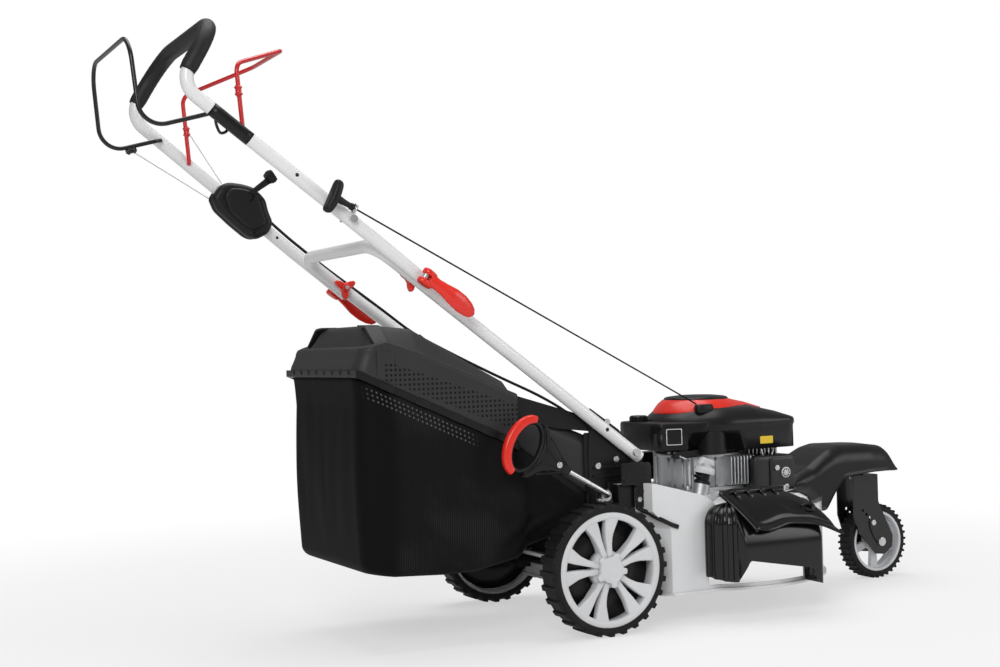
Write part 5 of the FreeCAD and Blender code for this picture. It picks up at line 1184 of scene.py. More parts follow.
@dataclass
class Chute(Assembly):
    """Side discharge: the ribbed hood and its hinged deflector."""

    corner: Sequence[float] = (292.0, -243.0)
    reach: float = 60.0
    front: float = 475.0
    hinge: Sequence[float] = (272.0, -238.0, 252.0)
    lean: float = math.radians(46.1)

    def hood(self) -> None:
        """The hood: one outline carried a quarter turn round its rear corner, then forward.

        The outline runs from the deck's edge outward and down.  Four ribs stand out on the
        turn, and the lower edge rises between a foot at each end.
        """
        turn = np.radians(np.linspace(0, 90, 61))
        run = np.linspace(0, self.front - self.corner[0], 40)[1:, None]
        direction = np.concatenate([-polar(1, turn), 0 * run + (0, -1)])
        start = np.concatenate([0 * turn[:, None] + self.corner, self.corner + run * (1, 0)])
        travel = np.concatenate([np.degrees(turn), 90 + run[:, 0]])
        foot = np.interp(travel, [0, 58, 72, 97, 250, 262, 273], [92, 82, 82, 122, 95, 72, 62])
        pulse = np.clip(1.6 * np.sin(np.radians(travel) * 18 - 0.6), 0, 1) * (travel < 82) * (travel > 4)
        square = np.clip((88 - travel) / 16, 0, 1)
        corners = corner_rows((0, 229 + 3 * square), (20, 226 + 5 * square), (46, 192 + 34 * square),
                              (self.reach, 160 + 46 * square), (self.reach, foot))
        outline = spread(soft_corners(corners, 16, 6), 44)
        groove = ((1 - pulse) * square)[:, None]
        rise = np.clip(outline[..., 0] / 20, 0, 1)
        radial = (outline[..., 0] - 4.2 * groove * rise)[..., None]
        height = outline[..., 1:] - 2.6 * groove[..., None] * (outline[..., 1:] > 200)
        points = np.concatenate([start[:, None] + direction[:, None] * radial, height], axis=2)
        ends = [points[-1:] * (1, share, 1) + (2.5, self.corner[1] * (1 - share), 0)
                for share in (0.97, 0.5, 0.02)]
        self.sheet("chute_hood", np.concatenate([points, *ends]), 3, self.palette.gloss_black, "gloss_black",
                   replaces="side_chute")

    def on_slope(self, flat: Sequence[Sequence[float]], height: Sequence[float]) -> np.ndarray:
        """Puts places on the deflector's slope into the frame.

        Args:
            flat: distances along the hinge and down the slope.
            height: heights above the sheet.

        Returns:
            The places in the frame.
        """
        shape = np.concatenate([np.asarray(flat, float), np.asarray(height, float)[..., None]], axis=-1)
        down = (0, -math.cos(self.lean), -math.sin(self.lean))
        up = (0, -math.sin(self.lean), math.cos(self.lean))
        return placed(shape, self.hinge, AHEAD, down, up)

    def deflector_sheet(self) -> None:
        """The deflector's sheet: a patch stretched between its hinge and a wavy outer edge.

        The surface is the sum of the two ruled surfaces between opposite edges, less the
        bilinear surface through the corners; it is crowned along its own normal, and its
        outer edge turns up.
        """
        u, v = np.linspace(0, 1, 41)[None, :], np.linspace(0, 1, 25)[:, None]
        hinge = curve([(5, 8), (153, 8)], u.size)
        outer = curve([(46, 100), (66, 105), (84, 103), (122, 94), (160, 97), (193, 104), (237, 132)],
                      u.size)
        left = curve([(5, 8), (46, 100)], v.size)
        right = curve([(153, 8), (186, 29), (214, 62), (228, 98), (237, 132)], v.size)
        uu, vv = u[..., None], v[..., None]
        ruled = (1 - vv) * hinge[None] + vv * outer[None] + (1 - uu) * left[:, None] + uu * right[:, None]
        corners = ((1 - uu) * (1 - vv) * hinge[0] + uu * (1 - vv) * hinge[-1]
                   + (1 - uu) * vv * outer[0] + uu * vv * outer[-1])
        crown = 7 * np.sin(math.pi * v) ** 0.8 * np.sin(math.pi * u) ** 0.6
        lip = 4 * np.clip((v - 0.9) / 0.1, 0, 1) - 2.5 * np.exp(-((v - 0.84) / 0.05) ** 2)
        recess = -2.2 * np.exp(-(((u - 0.62) / 0.09) ** 4 + ((v - 0.62) / 0.12) ** 4))
        points = self.on_slope(ruled - corners, crown + lip + recess + 1.5)
        self.sheet("deflector_sheet", points, 4, self.palette.gloss_black, "black_plastic", body="side_flap",
                   replaces="side_flap")

    def deflector_bars(self) -> None:
        """The bars on the sheet: its arm, its hook, the hinge's barrel and four short ribs."""
        gloss, dull = self.palette.gloss_black, self.palette.black_plastic
        arm = self.on_slope([(5, 2), (14, 24), (30, 62), (46, 100)], [3, 5, 5, 2])
        hook = self.on_slope([(170, 56), (186, 52), (200, 58), (192, 68), (178, 66)], [9, 11, 11, 10, 9])
        barrel = [(x, *self.hinge[1:]) for x in (272.4, 300, 360, 429.6)]
        bars = [("arm", curve(arm, 24), box_section(17, 9, 3), (0, -0.72, 0.69), gloss),
                ("hook", curve(hook, 24), box_section(7, 5, 3), (0.2, 0, 1), dull),
                ("barrel", barrel, round_section(7), UP, gloss)]
        for index, x in enumerate((34, 66, 98, 130)):
            rib = self.on_slope([(x, 4), (x + 2, 14), (x + 5, 26)], [7, 7, 5])
            bars.append(("rib_%d" % index, rib, box_section(5, 8), AHEAD, gloss))
        for name, path, section, up, material in bars:
            self.bar("deflector_" + name, path, section, up, material, "black_plastic", body="side_flap")

    def build(self) -> None:
        """Builds hood and deflector."""
        self.hood()
        self.deflector_sheet()
        self.deflector_bars()


@dataclass
class Chassis(Assembly):
    """Deck, brackets, rear flap, duct and lower handle, and the plates round the rear wheels."""

    bracket_face: float = 175.2
    skirt_face: float = 212.0

    def bracket_bolts(self) -> None:
        """Hexagon bolt heads on the outside of both side brackets."""
        for index, (x, z) in enumerate(((72.5, 329), (30.7, 318), (54.6, 404))):
            for side in Side:
                self.bolt("bracket_bolt_%d_%s" % (index, side.word), (x, side.value * self.bracket_face, z),
                          side.face, 7, 5)

    def skirts(self) -> None:
        """The pressed plates ahead of the rear wheels, with two beads each, and the webs behind them."""
        finish = (self.palette.satin_black, "black_paint")
        edge = [(94, 232), (94, 278), (63, 278), (63, 322), (128, 322), (132, 316), (132, 238), (104, 232)]
        layers = (("web", 170.6, 173.0, [(3, 284), (62, 284), (62, 384), (3, 384)]),
                  ("apron", 178.4, 180.8, [(50, 236), (86, 236), (86, 285), (50, 285)]),
                  ("cheek", 201.0, 203.4, [(60.3, 233), (98, 233), (98, 281), (60.3, 281)]),
                  ("plate", 210.2, 212.2, edge))
        back = pillow(soft_outline([(179, 238), (203, 238), (203, 281), (179, 281)], 2), 60.2, 61.6, 0.5)
        strap = np.array([(97, 213.7, 235), (106, 215.5, 228.5), (117.3, 222.5, 223.5), (127.8, 231, 214.5),
                          (139.8, 237.2, 208), (157.5, 238, 199), (175, 238, 192.5)])
        tongue = spread(soft_corners(strap[None], 5, 5), 48)[0]
        for side in Side:
            for name, near, far, corners in layers:
                shape = pillow(soft_outline(corners, 3), near, far, 0.8)
                self.plate("skirt_%s_%s" % (name, side.word), shape, (0, 0, 0), side.face, *finish)
            self.plate("skirt_back_" + side.word, back, (0, 0, 0), (LEFT * side.value, UP, AHEAD), *finish)
            self.bar("skirt_tongue_" + side.word, tongue * (1, side.value, 1), box_section(3, 9, 3), UP,
                     *finish)
            level_y = side.value * self.skirt_face
            for index, ends in enumerate((((66, 290), (129, 292)), ((98, 270), (129, 262)))):
                path = curve([(x, level_y, z) for x, z in ends], 8)
                self.bar("skirt_bead_%d_%s" % (index, side.word), path, box_section(6, 2.6, 2.4), LEFT,
                         *finish)
            for index, (x, z) in enumerate(((103, 250), (123, 247))):
                self.bolt("skirt_bolt_%d_%s" % (index, side.word), (x, level_y, z), side.face, 5.5, 2.4, 0.8)

    def build(self) -> None:
        """Dresses the chassis nodes."""
        p = self.palette
        dress(p.white_paint, "deck_shell")
        dress(p.tube_paint, "lower_handle")
        dress(p.satin_black, "side_brackets", "rear_flap", "discharge_tunnel")
        dress(p.zinc, "chassis_fasteners")
        dress(p.black_plastic, "cable_clip")
        dress(p.cable, "control_cables")
        dress(p.rope, "starter_rope")
        dress(p.belt, "drive_belt")
        self.bracket_bolts()
        self.skirts()


@dataclass
class Fender(Assembly):
    """The arched front hood over the caster, with its apron on the deck's right front shoulder."""

    deck_middle: float = 394.0
    swivel: float = 823.0

    def hood(self) -> None:
        """Lofts the hood: a flat crown with soft shoulders whose width and heights follow stations."""
        table = np.array([
            # x, half low, half at the crown, lower edge, crease, crown
            (585, 82, 66, 232, 240, 250), (606, 82, 64, 230, 246, 259), (644, 80, 60, 200, 257, 273),
            (655, 80, 60, 176, 263, 280), (674, 79, 58, 176, 273, 291), (705, 77, 56, 218, 286, 307),
            (732, 75, 54, 246, 291, 314), (818, 72, 52, 252, 289, 312), (862, 67, 49, 252, 282, 306),
            (880, 63, 46, 251, 272, 294), (893, 58, 43, 250, 260, 272), (899, 56, 42, 250, 254, 257),
        ])
        x = np.linspace(table[0, 0], table[-1, 0], 96)
        half, half_top, edge, crease, crown = smoothed(rows_between(table, x), 3)[:, 1:].T
        lip = 2.5 * (x > 640)
        corners = corner_rows((half + lip, edge), (half, edge + 5), (half - 1, crease), (half_top, crown),
                              (0, crown + 1.5))
        points = across(x, mirrored(spread(soft_corners(corners, 15, 6), 40)))
        rear = [self.shrunk(points[:1], share) for share in (0.02, 0.6, 0.97)]
        front = [self.shrunk(points[-1:], share) for share in (0.97, 0.6, 0.02)]
        self.sheet("fender_hood", np.concatenate([*rear, points, *front]), 3.6, self.palette.satin_black,
                   "black_plastic", replaces="front_fender")

    def shrunk(self, row: np.ndarray, share: float) -> np.ndarray:
        """An arch drawn in towards the middle of its foot."""
        return row * (1, share, share) + (0, 0, row[..., 2].min() * (1 - share))

    def apron(self) -> None:
        """The apron: part of a ring over the deck's shoulder, beside the hood's root."""
        around = polar(1, np.radians(np.linspace(-64, 0, 61)))
        profile = [(205, 236.8), (218, 237.6), (231, 237.8), (239, 236.8), (246, 233.6), (252, 229.2),
                   (256.5, 223.5), (259.5, 214)]
        points = np.stack([level((self.deck_middle, 0) + radius * around, height)
                           for radius, height in profile])
        self.sheet("fender_apron", points, 2, self.palette.satin_black, "black_plastic")

    def build(self) -> None:
        """Builds hood, apron and the boss of the swivel."""
        self.hood()
        self.apron()
        boss = [(self.swivel, 0, z) for z in (241.4, 250, 290, 304)]
        self.bar("fender_boss", boss, round_section(20, 32), AHEAD, self.palette.satin_black,
                 "black_plastic")


@dataclass
class Engine(Assembly):
    """Engine block, covers and everything bolted to them."""

    axis: float = 388.0
    cover_middle: float = 402.0
    cover_radius: float = 126.0
    cover_front: float = 582.0
    outlet: Sequence[float] = (519.0, -137.6, 273.0)

    def cover_plan(self, count: int) -> np.ndarray:
        """The cover's outline from above: a half circle at the rear and a blunt, soft front.

        Args:
            count: number of points.

        Returns:
            The outline's points.
        """
        rear = (self.cover_middle, 0) + polar(self.cover_radius, np.radians(np.linspace(90, 270, 61)))
        corners = [(470, -126), (562, -120), (self.cover_front, -88), (self.cover_front, 88), (562, 120),
                   (470, 126)]
        front = soft_corners(np.array([corners], float), 16, 5)[0]
        return spread(np.concatenate([rear, front, rear[:1]])[None], count + 1)[0][:-1]

    @property
    def shell(self) -> tuple[bpy.types.Material, str]:
        """Finish and slot of the cover's mouldings."""
        return self.palette.satin_black, "gloss_black"

    def rings(self, rows: Sequence[Sequence[np.ndarray | float]], turn: np.ndarray) -> np.ndarray:
        """Stacks rings round the crankshaft's line, each with its radius and its height."""
        return np.stack([level((self.axis, 0) + polar(radius, turn), height) for radius, height in rows])

    def cover(self) -> None:
        """The blower cover: a skirt, a brim, and a crown that closes over the flywheel.

        Each row is the outline drawn in towards the middle.  The skirt's lower edge rises in
        an arch on both sides, and the crown falls towards the front.
        """
        plan = self.cover_plan(240)
        centre = np.array((430.0, 0.0))
        x, y = plan.T
        arch = np.clip((x - 300) / 14, 0, 1) * np.clip((424 - x) / 12, 0, 1) * (np.abs(y) > 60)
        low = 326 + 41 * arch
        fall = 14 * np.clip((x - 470) / 112, 0, 1)
        rows = [(0.975, low), (0.985, low), (0.985, 371), (0.99, 375), (1.0, 377), (1.0, 384), (0.985, 389),
                (0.945, 397 - 0.4 * fall), (0.86, 408 - 0.9 * fall), (0.77, 414.5 - fall),
                (0.6, 417 - 0.6 * fall), (0.4, 419), (0.03, 420)]
        points = np.stack([level(centre + (plan - centre) * share, height) for share, height in rows])
        self.add("cover_shell", points, *self.shell, replaces="engine_cover")

    def tank(self) -> None:
        """The tank: its sides are facets that run on into the cover, above the arch and behind it."""
        low, long = (soft_outline([(236, -56), (242, -81), (end, -wide), (end, wide), (242, 81),
                                   (236, 56)], 5) for end, wide in ((301, 100), (345, 113)))
        centre = np.array((290.0, 0.0))
        rows = [(low, 0.97, 330), (low, 1.0, 333), (low, 1.0, 366), (long, 1.0, 368), (long, 1.0, 382),
                (long, 0.985, 386.5), (long, 0.95, 388)]
        points = np.stack([level(centre + (spread(plan[None], 160)[0] - centre) * share, height)
                           for plan, share, height in rows])
        self.add("tank_shell", points, *self.shell, replaces="fuel_tank")

    def trim(self) -> None:
        """The red trim: a sloping ring round the cap that draws out to a point at the front."""
        turn = full_turn(160)
        wide = 95 + 68 * np.clip(np.cos(turn), 0, 1) ** 7
        rows = [(wide - 14, 398), (wide, 402), (wide, 407), (wide - 2, 410), (0.5 * wide + 36, 423),
                (73, 432), (70, 433), (69, 420), (wide - 14, 398)]
        self.add("trim_ring", self.rings(rows, turn), self.palette.red_plastic, "red_plastic",
                 replaces="cover_trim")

    def cap(self) -> None:
        """The starter's cap: a low dome with shallow rings, and the rope's hooded outlet."""
        rows = [(69.5, 424), (69.5, 434), (67, 437), (60, 439), (56, 438.2), (53, 439.8), (40, 441.2),
                (37, 440.4), (34, 441.6), (18, 442.2), (2, 442.4)]
        self.add("starter_cap", self.rings(rows, full_turn(96)), *self.shell, replaces="recoil_cap")
        outline = soft_outline([(-22, -6), (-12, -13), (14, -13), (24, -6), (18, 12), (-16, 12)], 5)
        self.plate("rope_outlet", pillow(outline, 404, 424, 5), (350, -82, 0), TOP_FACE,
                   self.palette.black_plastic, "gloss_black")

    def shroud(self) -> None:
        """The dark housings that show through the arch in the cover's side."""
        for name, (x, y), radius, low, high in (("starter_housing", (367, -86), 31, 319, 372),
                                                ("fan_housing", (402, 0), 96, 322, 376)):
            path = [(x, y, z) for z in (low, low + 4, high - 4, high)]
            self.bar(name, path, round_section(radius, 64), AHEAD, *self.shell)

    def castings(self) -> None:
        """The cylinder's cooling fins, and the crankcase's ribs and side flange with its bolts."""
        finish = (self.palette.cast, "cast_aluminium")
        fin = pillow(soft_outline([(-118, 252), (-84, 252), (-84, 314), (-118, 314)], 5), -1.3, 1.3, 0.8)
        for index in range(8):
            self.plate("cylinder_fin_%d" % index, fin, (394 + 8.4 * index, 0, 0), FRONT_FACE, *finish)
        for index, angle in enumerate(np.radians(np.arange(192, 262, 11.5))):
            out = np.array((math.cos(angle), math.sin(angle), 0))
            foot = (self.axis, 0, 0) + out * 89
            path = [foot + (0, 0, z) for z in (249, 262, 296, 310)]
            self.bar("case_rib_%d" % index, path, box_section(4, 7), out, *finish)
            self.bolt("case_bolt_%d" % index, foot - out * 4 + (0, 0, 318.3), TOP_FACE, 5.5, 5)
        flange = circle_path((self.axis, 0, 314), 90, 64)
        self.add("case_flange", bar_grid(flange, box_section(5, 7), UP), *finish)

    def governor(self) -> None:
        """The governor's plate and its rods."""
        outline = soft_outline([(-46, -6), (-30, -10), (34, -8), (40, 2), (22, 8), (4, 5), (-20, 9)], 3)
        self.plate("governor_plate", pillow(outline, -1.5, 1.5, 0.8), (308, -84, 322), Side.RIGHT.face,
                   self.palette.satin_black, "dark_steel")
        rods = (((478, -118, 300), (470, -118, 330)), ((500, -110, 300), (520, -104, 336)),
                ((284, -86, 318), (308, -86, 307)))
        for index, ends in enumerate(rods):
            self.bar("governor_rod_%d" % index, curve(ends, 4), round_section(2, 12), LEFT,
                     self.palette.zinc, "zinc_steel")

    def silencer(self) -> None:
        """The muffler: a soft box with an outer plate, its perforated outlet and two bolts; the outlet's
        holes are black dots of painted shade.
        """
        p = self.palette
        x, y, z = self.outlet
        box = pillow(soft_outline([(442, 228), (546, 228), (546, 311), (442, 311)], 9), 60, 134, 6)
        plate = pillow(soft_outline([(-32, -38), (32, -38), (32, 36), (-32, 36)], 7), 0, 4, 2)
        disc = pillow(round_section(12, 32), 0, 3, 1.5)
        hole = pillow(round_section(1.9, 8), 0, 0.6, 0.2)
        out = Side.RIGHT.face
        self.plate("muffler_box", box, (0, 0, 0), out, p.dark_paint, "dark_steel", replaces="muffler")
        self.plate("muffler_plate", plate, (512, -133.8, 270), out, p.dark_paint, "dark_steel")
        self.plate("muffler_outlet", disc, self.outlet, out, p.cast, "dark_steel")
        # The outlet's holes are black dots: painted shade inside the holes.
        for index, (right, up) in enumerate(polar(7.6, np.radians(np.arange(0, 360, 40)))):
            self.plate("muffler_hole_%d" % index, hole, (x + right, y - 2.6, z + up), out, p.satin_black,
                       "dark_steel")
        for index, (right, up) in enumerate(((-24, 11), (0, -30))):
            self.bolt("muffler_bolt_%d" % index, (x + right, y, z + up), out, 6.5, 5)

    def plates(self) -> None:
        """Blank label plates: a framed dark one on the tank and a yellow one ahead of the arch."""
        p = self.palette
        facet = ((0.952, -0.306, 0.0), UP, (-0.306, -0.952, 0.0))
        for name, half, high, material in (("frame", 17.0, 0.7, p.tube_paint),
                                           ("field", 15.6, 1.0, p.satin_black)):
            square = soft_outline([(-half, -half), (half, -half), (half, half), (-half, half)], 2)
            self.plate("plate_" + name, pillow(square, -0.5, high, 0.3), (270.0, -89.6, 359.0), facet,
                       material, "light_plastic")
        yellow = pillow(soft_outline([(-17, -8), (17, -8), (17, 8), (-17, 8)], 2), 0, 0.8, 0.3)
        self.plate("plate_yellow", yellow, (482, -123.4, 344), Side.RIGHT.face, p.yellow, "light_plastic")

    def filler(self) -> None:
        """The oil filler's cap: a grip wing on a disc; and the ribs of its neck."""
        wing = soft_outline([(-20, -6), (-12, -11), (12, -11), (20, -5), (17, 9), (-15, 10)], 5)
        tilted = ((0.966, 0.0, -0.259), (0.259, 0, 0.966), -LEFT)
        self.plate("filler_wing", pillow(wing, -8, 8, 4), (338, -104, 302.5), tilted,
                   self.palette.silver_plastic, "grey_plastic", body="oil_cap")
        neck_up = (0.43, -0.2, 0.88)
        ring = circle_path((0, 0, 0), 13.5, 28) @ np.array([(0.9, 0, -0.43), (0, 1, 0), neck_up])
        for index, share in enumerate((0.12, 0.32, 0.52, 0.72)):
            spot = np.array((322, -101, 268.0)) + share * np.array((18, -10, 30.0))
            self.add("filler_rib_%d" % index, bar_grid(spot + ring, round_section(2, 8), neck_up),
                     self.palette.black_plastic, "black_plastic")

    def build(self) -> None:
        """Dresses the engine's nodes and adds its details."""
        p = self.palette
        dress(p.cast, "engine_block", "carburettor", "flywheel")
        dress(p.satin_black, "fuel_cap", "air_filter")
        dress(p.dark_steel, "blade")
        dress(p.zinc, "crankshaft", "blade_adapter", "blade_bolt", "spark_plug")
        dress(p.black_plastic, "oil_filler_neck")
        dress(p.silver_plastic, "oil_cap")
        self.cover()
        self.tank()
        self.trim()
        self.cap()
        self.shroud()
        self.castings()
        self.governor()
        self.silencer()
        self.plates()
        self.filler()


@dataclass
class HeightLever(Assembly):
    """The loop grip of the height adjuster, its screw and the bushing at the rod's foot."""

    body: str = "height_adjuster"
    rod_end: Sequence[float] = (-68.0, -224.7, 319.0)
    along: Sequence[float] = (-0.8672, 0.0, 0.4980)
    base: float = 77.6
    middle: float = 20.0
    reach: float = 36.0
    half: float = 55.0
    rib_level: float = 7.8

    def spot(self, places: np.ndarray, out: np.ndarray | float = 0.0) -> np.ndarray:
        """Puts places that are counted from the middle of the loop's base into the frame.

        Args:
            places: distances along and across the lever.
            out: distance to the left.

        Returns:
            The places in the frame.
        """
        along = np.array(self.along)
        across_loop = np.array((along[2], 0, -along[0]))
        return (self.rod_end + along * self.base + places[..., :1] * along + places[..., 1:2] * across_loop
                + LEFT * out)

    def arc(self, inset: float, start: float, end: float, count: int) -> np.ndarray:
        """Part of the loop's ellipse, drawn in by an inset."""
        turn = np.radians(np.linspace(start, end, count))
        return self.spot((self.middle, 0) + polar(1, turn) * (self.reach - inset, self.half - inset))

    def loop(self) -> None:
        """The red grip and the black ring inside it."""
        path = self.arc(0, -82, 82, 48)
        thinning = 4 * np.linspace(-1, 1, len(path)) ** 4
        section = swollen(box_section(1, 1, 2.6, 28), 19 - thinning, 17)
        self.bar("lever_grip", path, section, LEFT, self.palette.red_plastic, "red_plastic",
                 replaces="height_grip")
        ring = self.arc(6.5, 0, 360, 72)
        ring[-1] = ring[0]
        self.add("lever_ring", bar_grid(ring, box_section(7, 13, 3), LEFT), self.palette.black_plastic,
                 "red_plastic")

    def plate_outline(self) -> np.ndarray:
        """The body's outline: a neck that widens to the loop and follows its hole.

        Returns:
            The outline's points.
        """
        neck = np.array([(-66, 13), (-44, 17), (-24, 30), (-8, 50), (4, 56)])
        share = np.array([-0.9, -0.6, -0.25, 0.25, 0.6, 0.9])
        bulge = (self.reach - 3) * np.sqrt(1 - share ** 2)
        hole = np.column_stack([self.middle - bulge, share * (self.half - 3)])
        return soft_outline(np.concatenate([[(-86, 8), (-84, -8)], neck * (1, -1), hole, neck[::-1]]), 5)

    def build(self) -> None:
        """Builds the grip."""
        p = self.palette
        self.loop()
        body = pillow(self.plate_outline(), -8, 8, 2.5)
        self.add("lever_body", self.spot(body[..., :2], body[..., 2:]), p.black_plastic, "red_plastic")
        ribs = (((-70, -8), (-18, -38)), ((-70, 8), (-18, 38)), ((-64, -3), (-20, -14)),
                ((-64, 3), (-20, 14)))
        for (index, ends), side in product(enumerate(ribs), Side):
            path = self.spot(curve(ends, 6), side.value * self.rib_level)
            self.bar("lever_rib_%d_%s" % (index, side.word), path, round_section(1.6, 10), LEFT,
                     p.black_plastic, "red_plastic")
        screw = pillow(round_section(6, 24), 0, 3, 1)
        self.plate("lever_screw", screw, self.spot(np.array((-56.0, 0.0)), -self.rib_level),
                   Side.RIGHT.face, p.zinc, "zinc_steel")
        bushing = [(12, -214, z) for z in (244, 246, 257, 258)]
        self.bar("lever_bushing", bushing, round_section(8, 24), AHEAD, p.zinc, "zinc_steel")


@dataclass
class RunningGear(Assembly):
    """Wheels, axle, height adjuster and caster."""

    axle: float = 127.0
    face: float = 268.0
    arm_pairs: int = 5
    first_pair: float = 28.0
    fork_face: float = 29.8

    def arm(self, middle: float, lean: int) -> np.ndarray:
        """One arm of a pair: it leaves the hub beside its twin and splays out to the rim.

        Args:
            middle: direction of the pair's middle, in degrees.
            lean: which way the arm splays.

        Returns:
            The grid of the arm for an outward direction of +Y.
        """
        radius = np.linspace(24, 102, 16)
        angle = np.radians(middle + lean * np.interp(radius, [24, 48, 70, 102], [13, 11, 11.5, 14.2]))
        width = np.interp(radius, [24, 46, 68, 102], [12, 12, 17, 31])
        depth = np.interp(radius, [24, 60, 102], [26, 20, 16])
        out = self.face - np.interp(radius, [24, 60, 102], [16, 15, 8])
        right, up = polar(radius, angle).T
        path = np.stack([right, out, self.axle + up], axis=1)
        return capped(bar_grid(path, swollen(box_section(1, 1, 6, 24), width, depth), LEFT))

    def turned(self, profile: Sequence[Sequence[float]], sides: int = 96) -> np.ndarray:
        """Turns a profile of (radius, Y) pairs round the axle's line."""
        return np.stack([placed(level(polar(radius, full_turn(sides)), y), self.axle * UP, AHEAD, UP, LEFT)
                         for radius, y in profile])

    def rear_wheel(self, side: Side) -> None:
        """One rear wheel: rim, dark back disc, paired arms, hub and five-tabbed cap.

        Args:
            side: the wheel's side.
        """
        mirror = (1.0, side.value, 1.0)
        body = "rear_wheel_" + side.word
        pale = (self.palette.rim_plastic, "light_plastic", body)
        ring = [(110, 262), (110.5, 266.5), (108, 268.4), (99, 268.8), (96.5, 267), (96, 262), (100, 240),
                (103, 219), (108, 216.5), (110, 220), (110, 262)]
        disc = [(8, 238), (60, 240), (99, 236), (99, 233), (60, 236), (8, 234), (8, 238)]
        hub = [(12, 240), (37, 240), (36, 254), (32, 260), (28, 262), (12, 262), (12, 240)]
        self.add("rim_" + side.word, self.turned(ring) * mirror, *pale, replaces="rear_rim_" + side.word)
        self.add("rim_disc_" + side.word, self.turned(disc) * mirror, self.palette.satin_black,
                 "black_plastic", body)
        self.add("rim_hub_" + side.word, self.turned(hub, 64) * mirror, *pale)
        pitch = 360 / self.arm_pairs
        for index in range(self.arm_pairs):
            for lean, letter in ((-1, "a"), (1, "b")):
                arm = self.arm(self.first_pair + pitch * index, lean)
                self.add("rim_arm_%s_%d%s" % (side.word, index, letter), arm * mirror, *pale)
        turn = full_turn(200)
        away = np.abs((np.degrees(turn) - self.first_pair) % pitch - pitch / 2)
        tab = 1 / (1 + np.exp((away - 12) / 1.6))
        cap = pillow(polar(25 + 9 * tab, turn), self.face - 5, self.face + 5.5, 2.5)
        self.add("rim_cap_" + side.word, placed(cap, self.axle * UP, AHEAD, UP, LEFT) * mirror, *pale)

    def fork_bolts(self) -> None:
        """A raised oval pad on each side of the fork, and the heads of the two bolts on it."""
        along, across_fork = (0.455, 0, -0.89), (0.89, 0, 0.455)
        pad = pillow(polar(1, full_turn(64)) * (35, 14), 0, 3.2, 2)
        for side in Side:
            y = side.value * self.fork_face
            self.plate("fork_pad_" + side.word, pad, (857, y, 110), (along, across_fork, LEFT * side.value),
                       self.palette.black_paint, "black_paint", body="caster")
            for index, (x, z) in enumerate(((846, 131), (868, 88))):
                self.bolt("fork_bolt_%d_%s" % (index, side.word), (x, y, z), side.face, 7, 7, body="caster")

    def build(self) -> None:
        """Dresses the wheels and the adjuster."""
        p = self.palette
        dress(p.tyre, "rear_tyre_left", "rear_tyre_right", "caster_tyre")
        dress(p.silver_plastic, "caster_rim")
        dress(p.black_paint, "caster_fork", "height_frame")
        dress(p.zinc, "caster_bolts", "rear_axle", "height_lever")
        dress(p.cast, "gearbox")
        for side in Side:
            self.rear_wheel(side)
        self.fork_bolts()


@dataclass
class FoldJoint(Assembly):
    """Cam levers and star nuts of the handle's fold joint."""

    centre: Sequence[float] = (-355.0, 0.0, 688.0)
    pin: float = 234.6
    nut: float = 174.7
    down: Sequence[float] = (0.79968, 0.0, -0.60042)

    def cam_lever(self, side: Side) -> None:
        """One lever: a forked head and a blade that swells, curves over the tube and ends round.

        Args:
            side: the lever's side.
        """
        name = "cam_lever_" + side.word
        finish = (self.palette.red_plastic, "red_plastic")
        along = np.array(self.down)
        wide = np.array((-along[2], 0, along[0]))
        out = LEFT * side.value
        origin = self.centre + out * self.pin
        table = np.array([
            # place along, half width, lift over the tube, half thickness
            (8, 14, 2.5, 10), (14, 13, 4, 9), (24, 11, 7, 8), (40, 12.5, 10, 7.5), (62, 16.5, 11, 7.5),
            (84, 17.5, 8.5, 7), (102, 14.5, 5, 5.6), (113, 9.5, 3, 4), (118, 3, 2, 1.4),
        ])
        places, width, lift, depth = rows_between(table, np.linspace(table[0, 0], table[-1, 0], 48)).T
        path = origin + places[:, None] * along + lift[:, None] * out
        blade = loft(path, swollen(box_section(2, 2, 1.75, 28), width, depth), wide, out)
        self.add("cam_blade_" + side.word, capped(blade), *finish, body=name, replaces=name)
        for index, (low, high) in enumerate(((-15, -4.6), (4.6, 15))):
            eye = pillow(egg(11.5, 10, 20), low, high, 3)
            self.plate("cam_eye_%s_%d" % (side.word, index), eye, origin, (along, out, wide), *finish,
                       body=name)

    def star_nut(self, side: Side) -> None:
        """One nut: three points round a cupped hub.

        Args:
            side: the nut's side.
        """
        name = "star_nut_" + side.word
        turn = full_turn(96)
        star = polar(10.5 + 14 * ((1 + np.cos(3 * (turn - 0.5))) / 2) ** 2.1, turn)
        origin = self.centre + LEFT * side.value * self.nut
        inward = (AHEAD, UP, -LEFT * side.value)
        finish = (self.palette.red_plastic, "red_plastic")
        self.plate("star_body_" + side.word, pillow(star, 0.2, 12, 3), origin, inward, *finish, body=name,
                   replaces=name)
        hub = pillow(round_section(8.5, 32), 11, 16, 2)
        self.plate("star_hub_" + side.word, hub, origin, inward, *finish, body=name)

    def build(self) -> None:
        """Builds both sides."""
        for side in Side:
            self.cam_lever(side)
            self.star_nut(side)


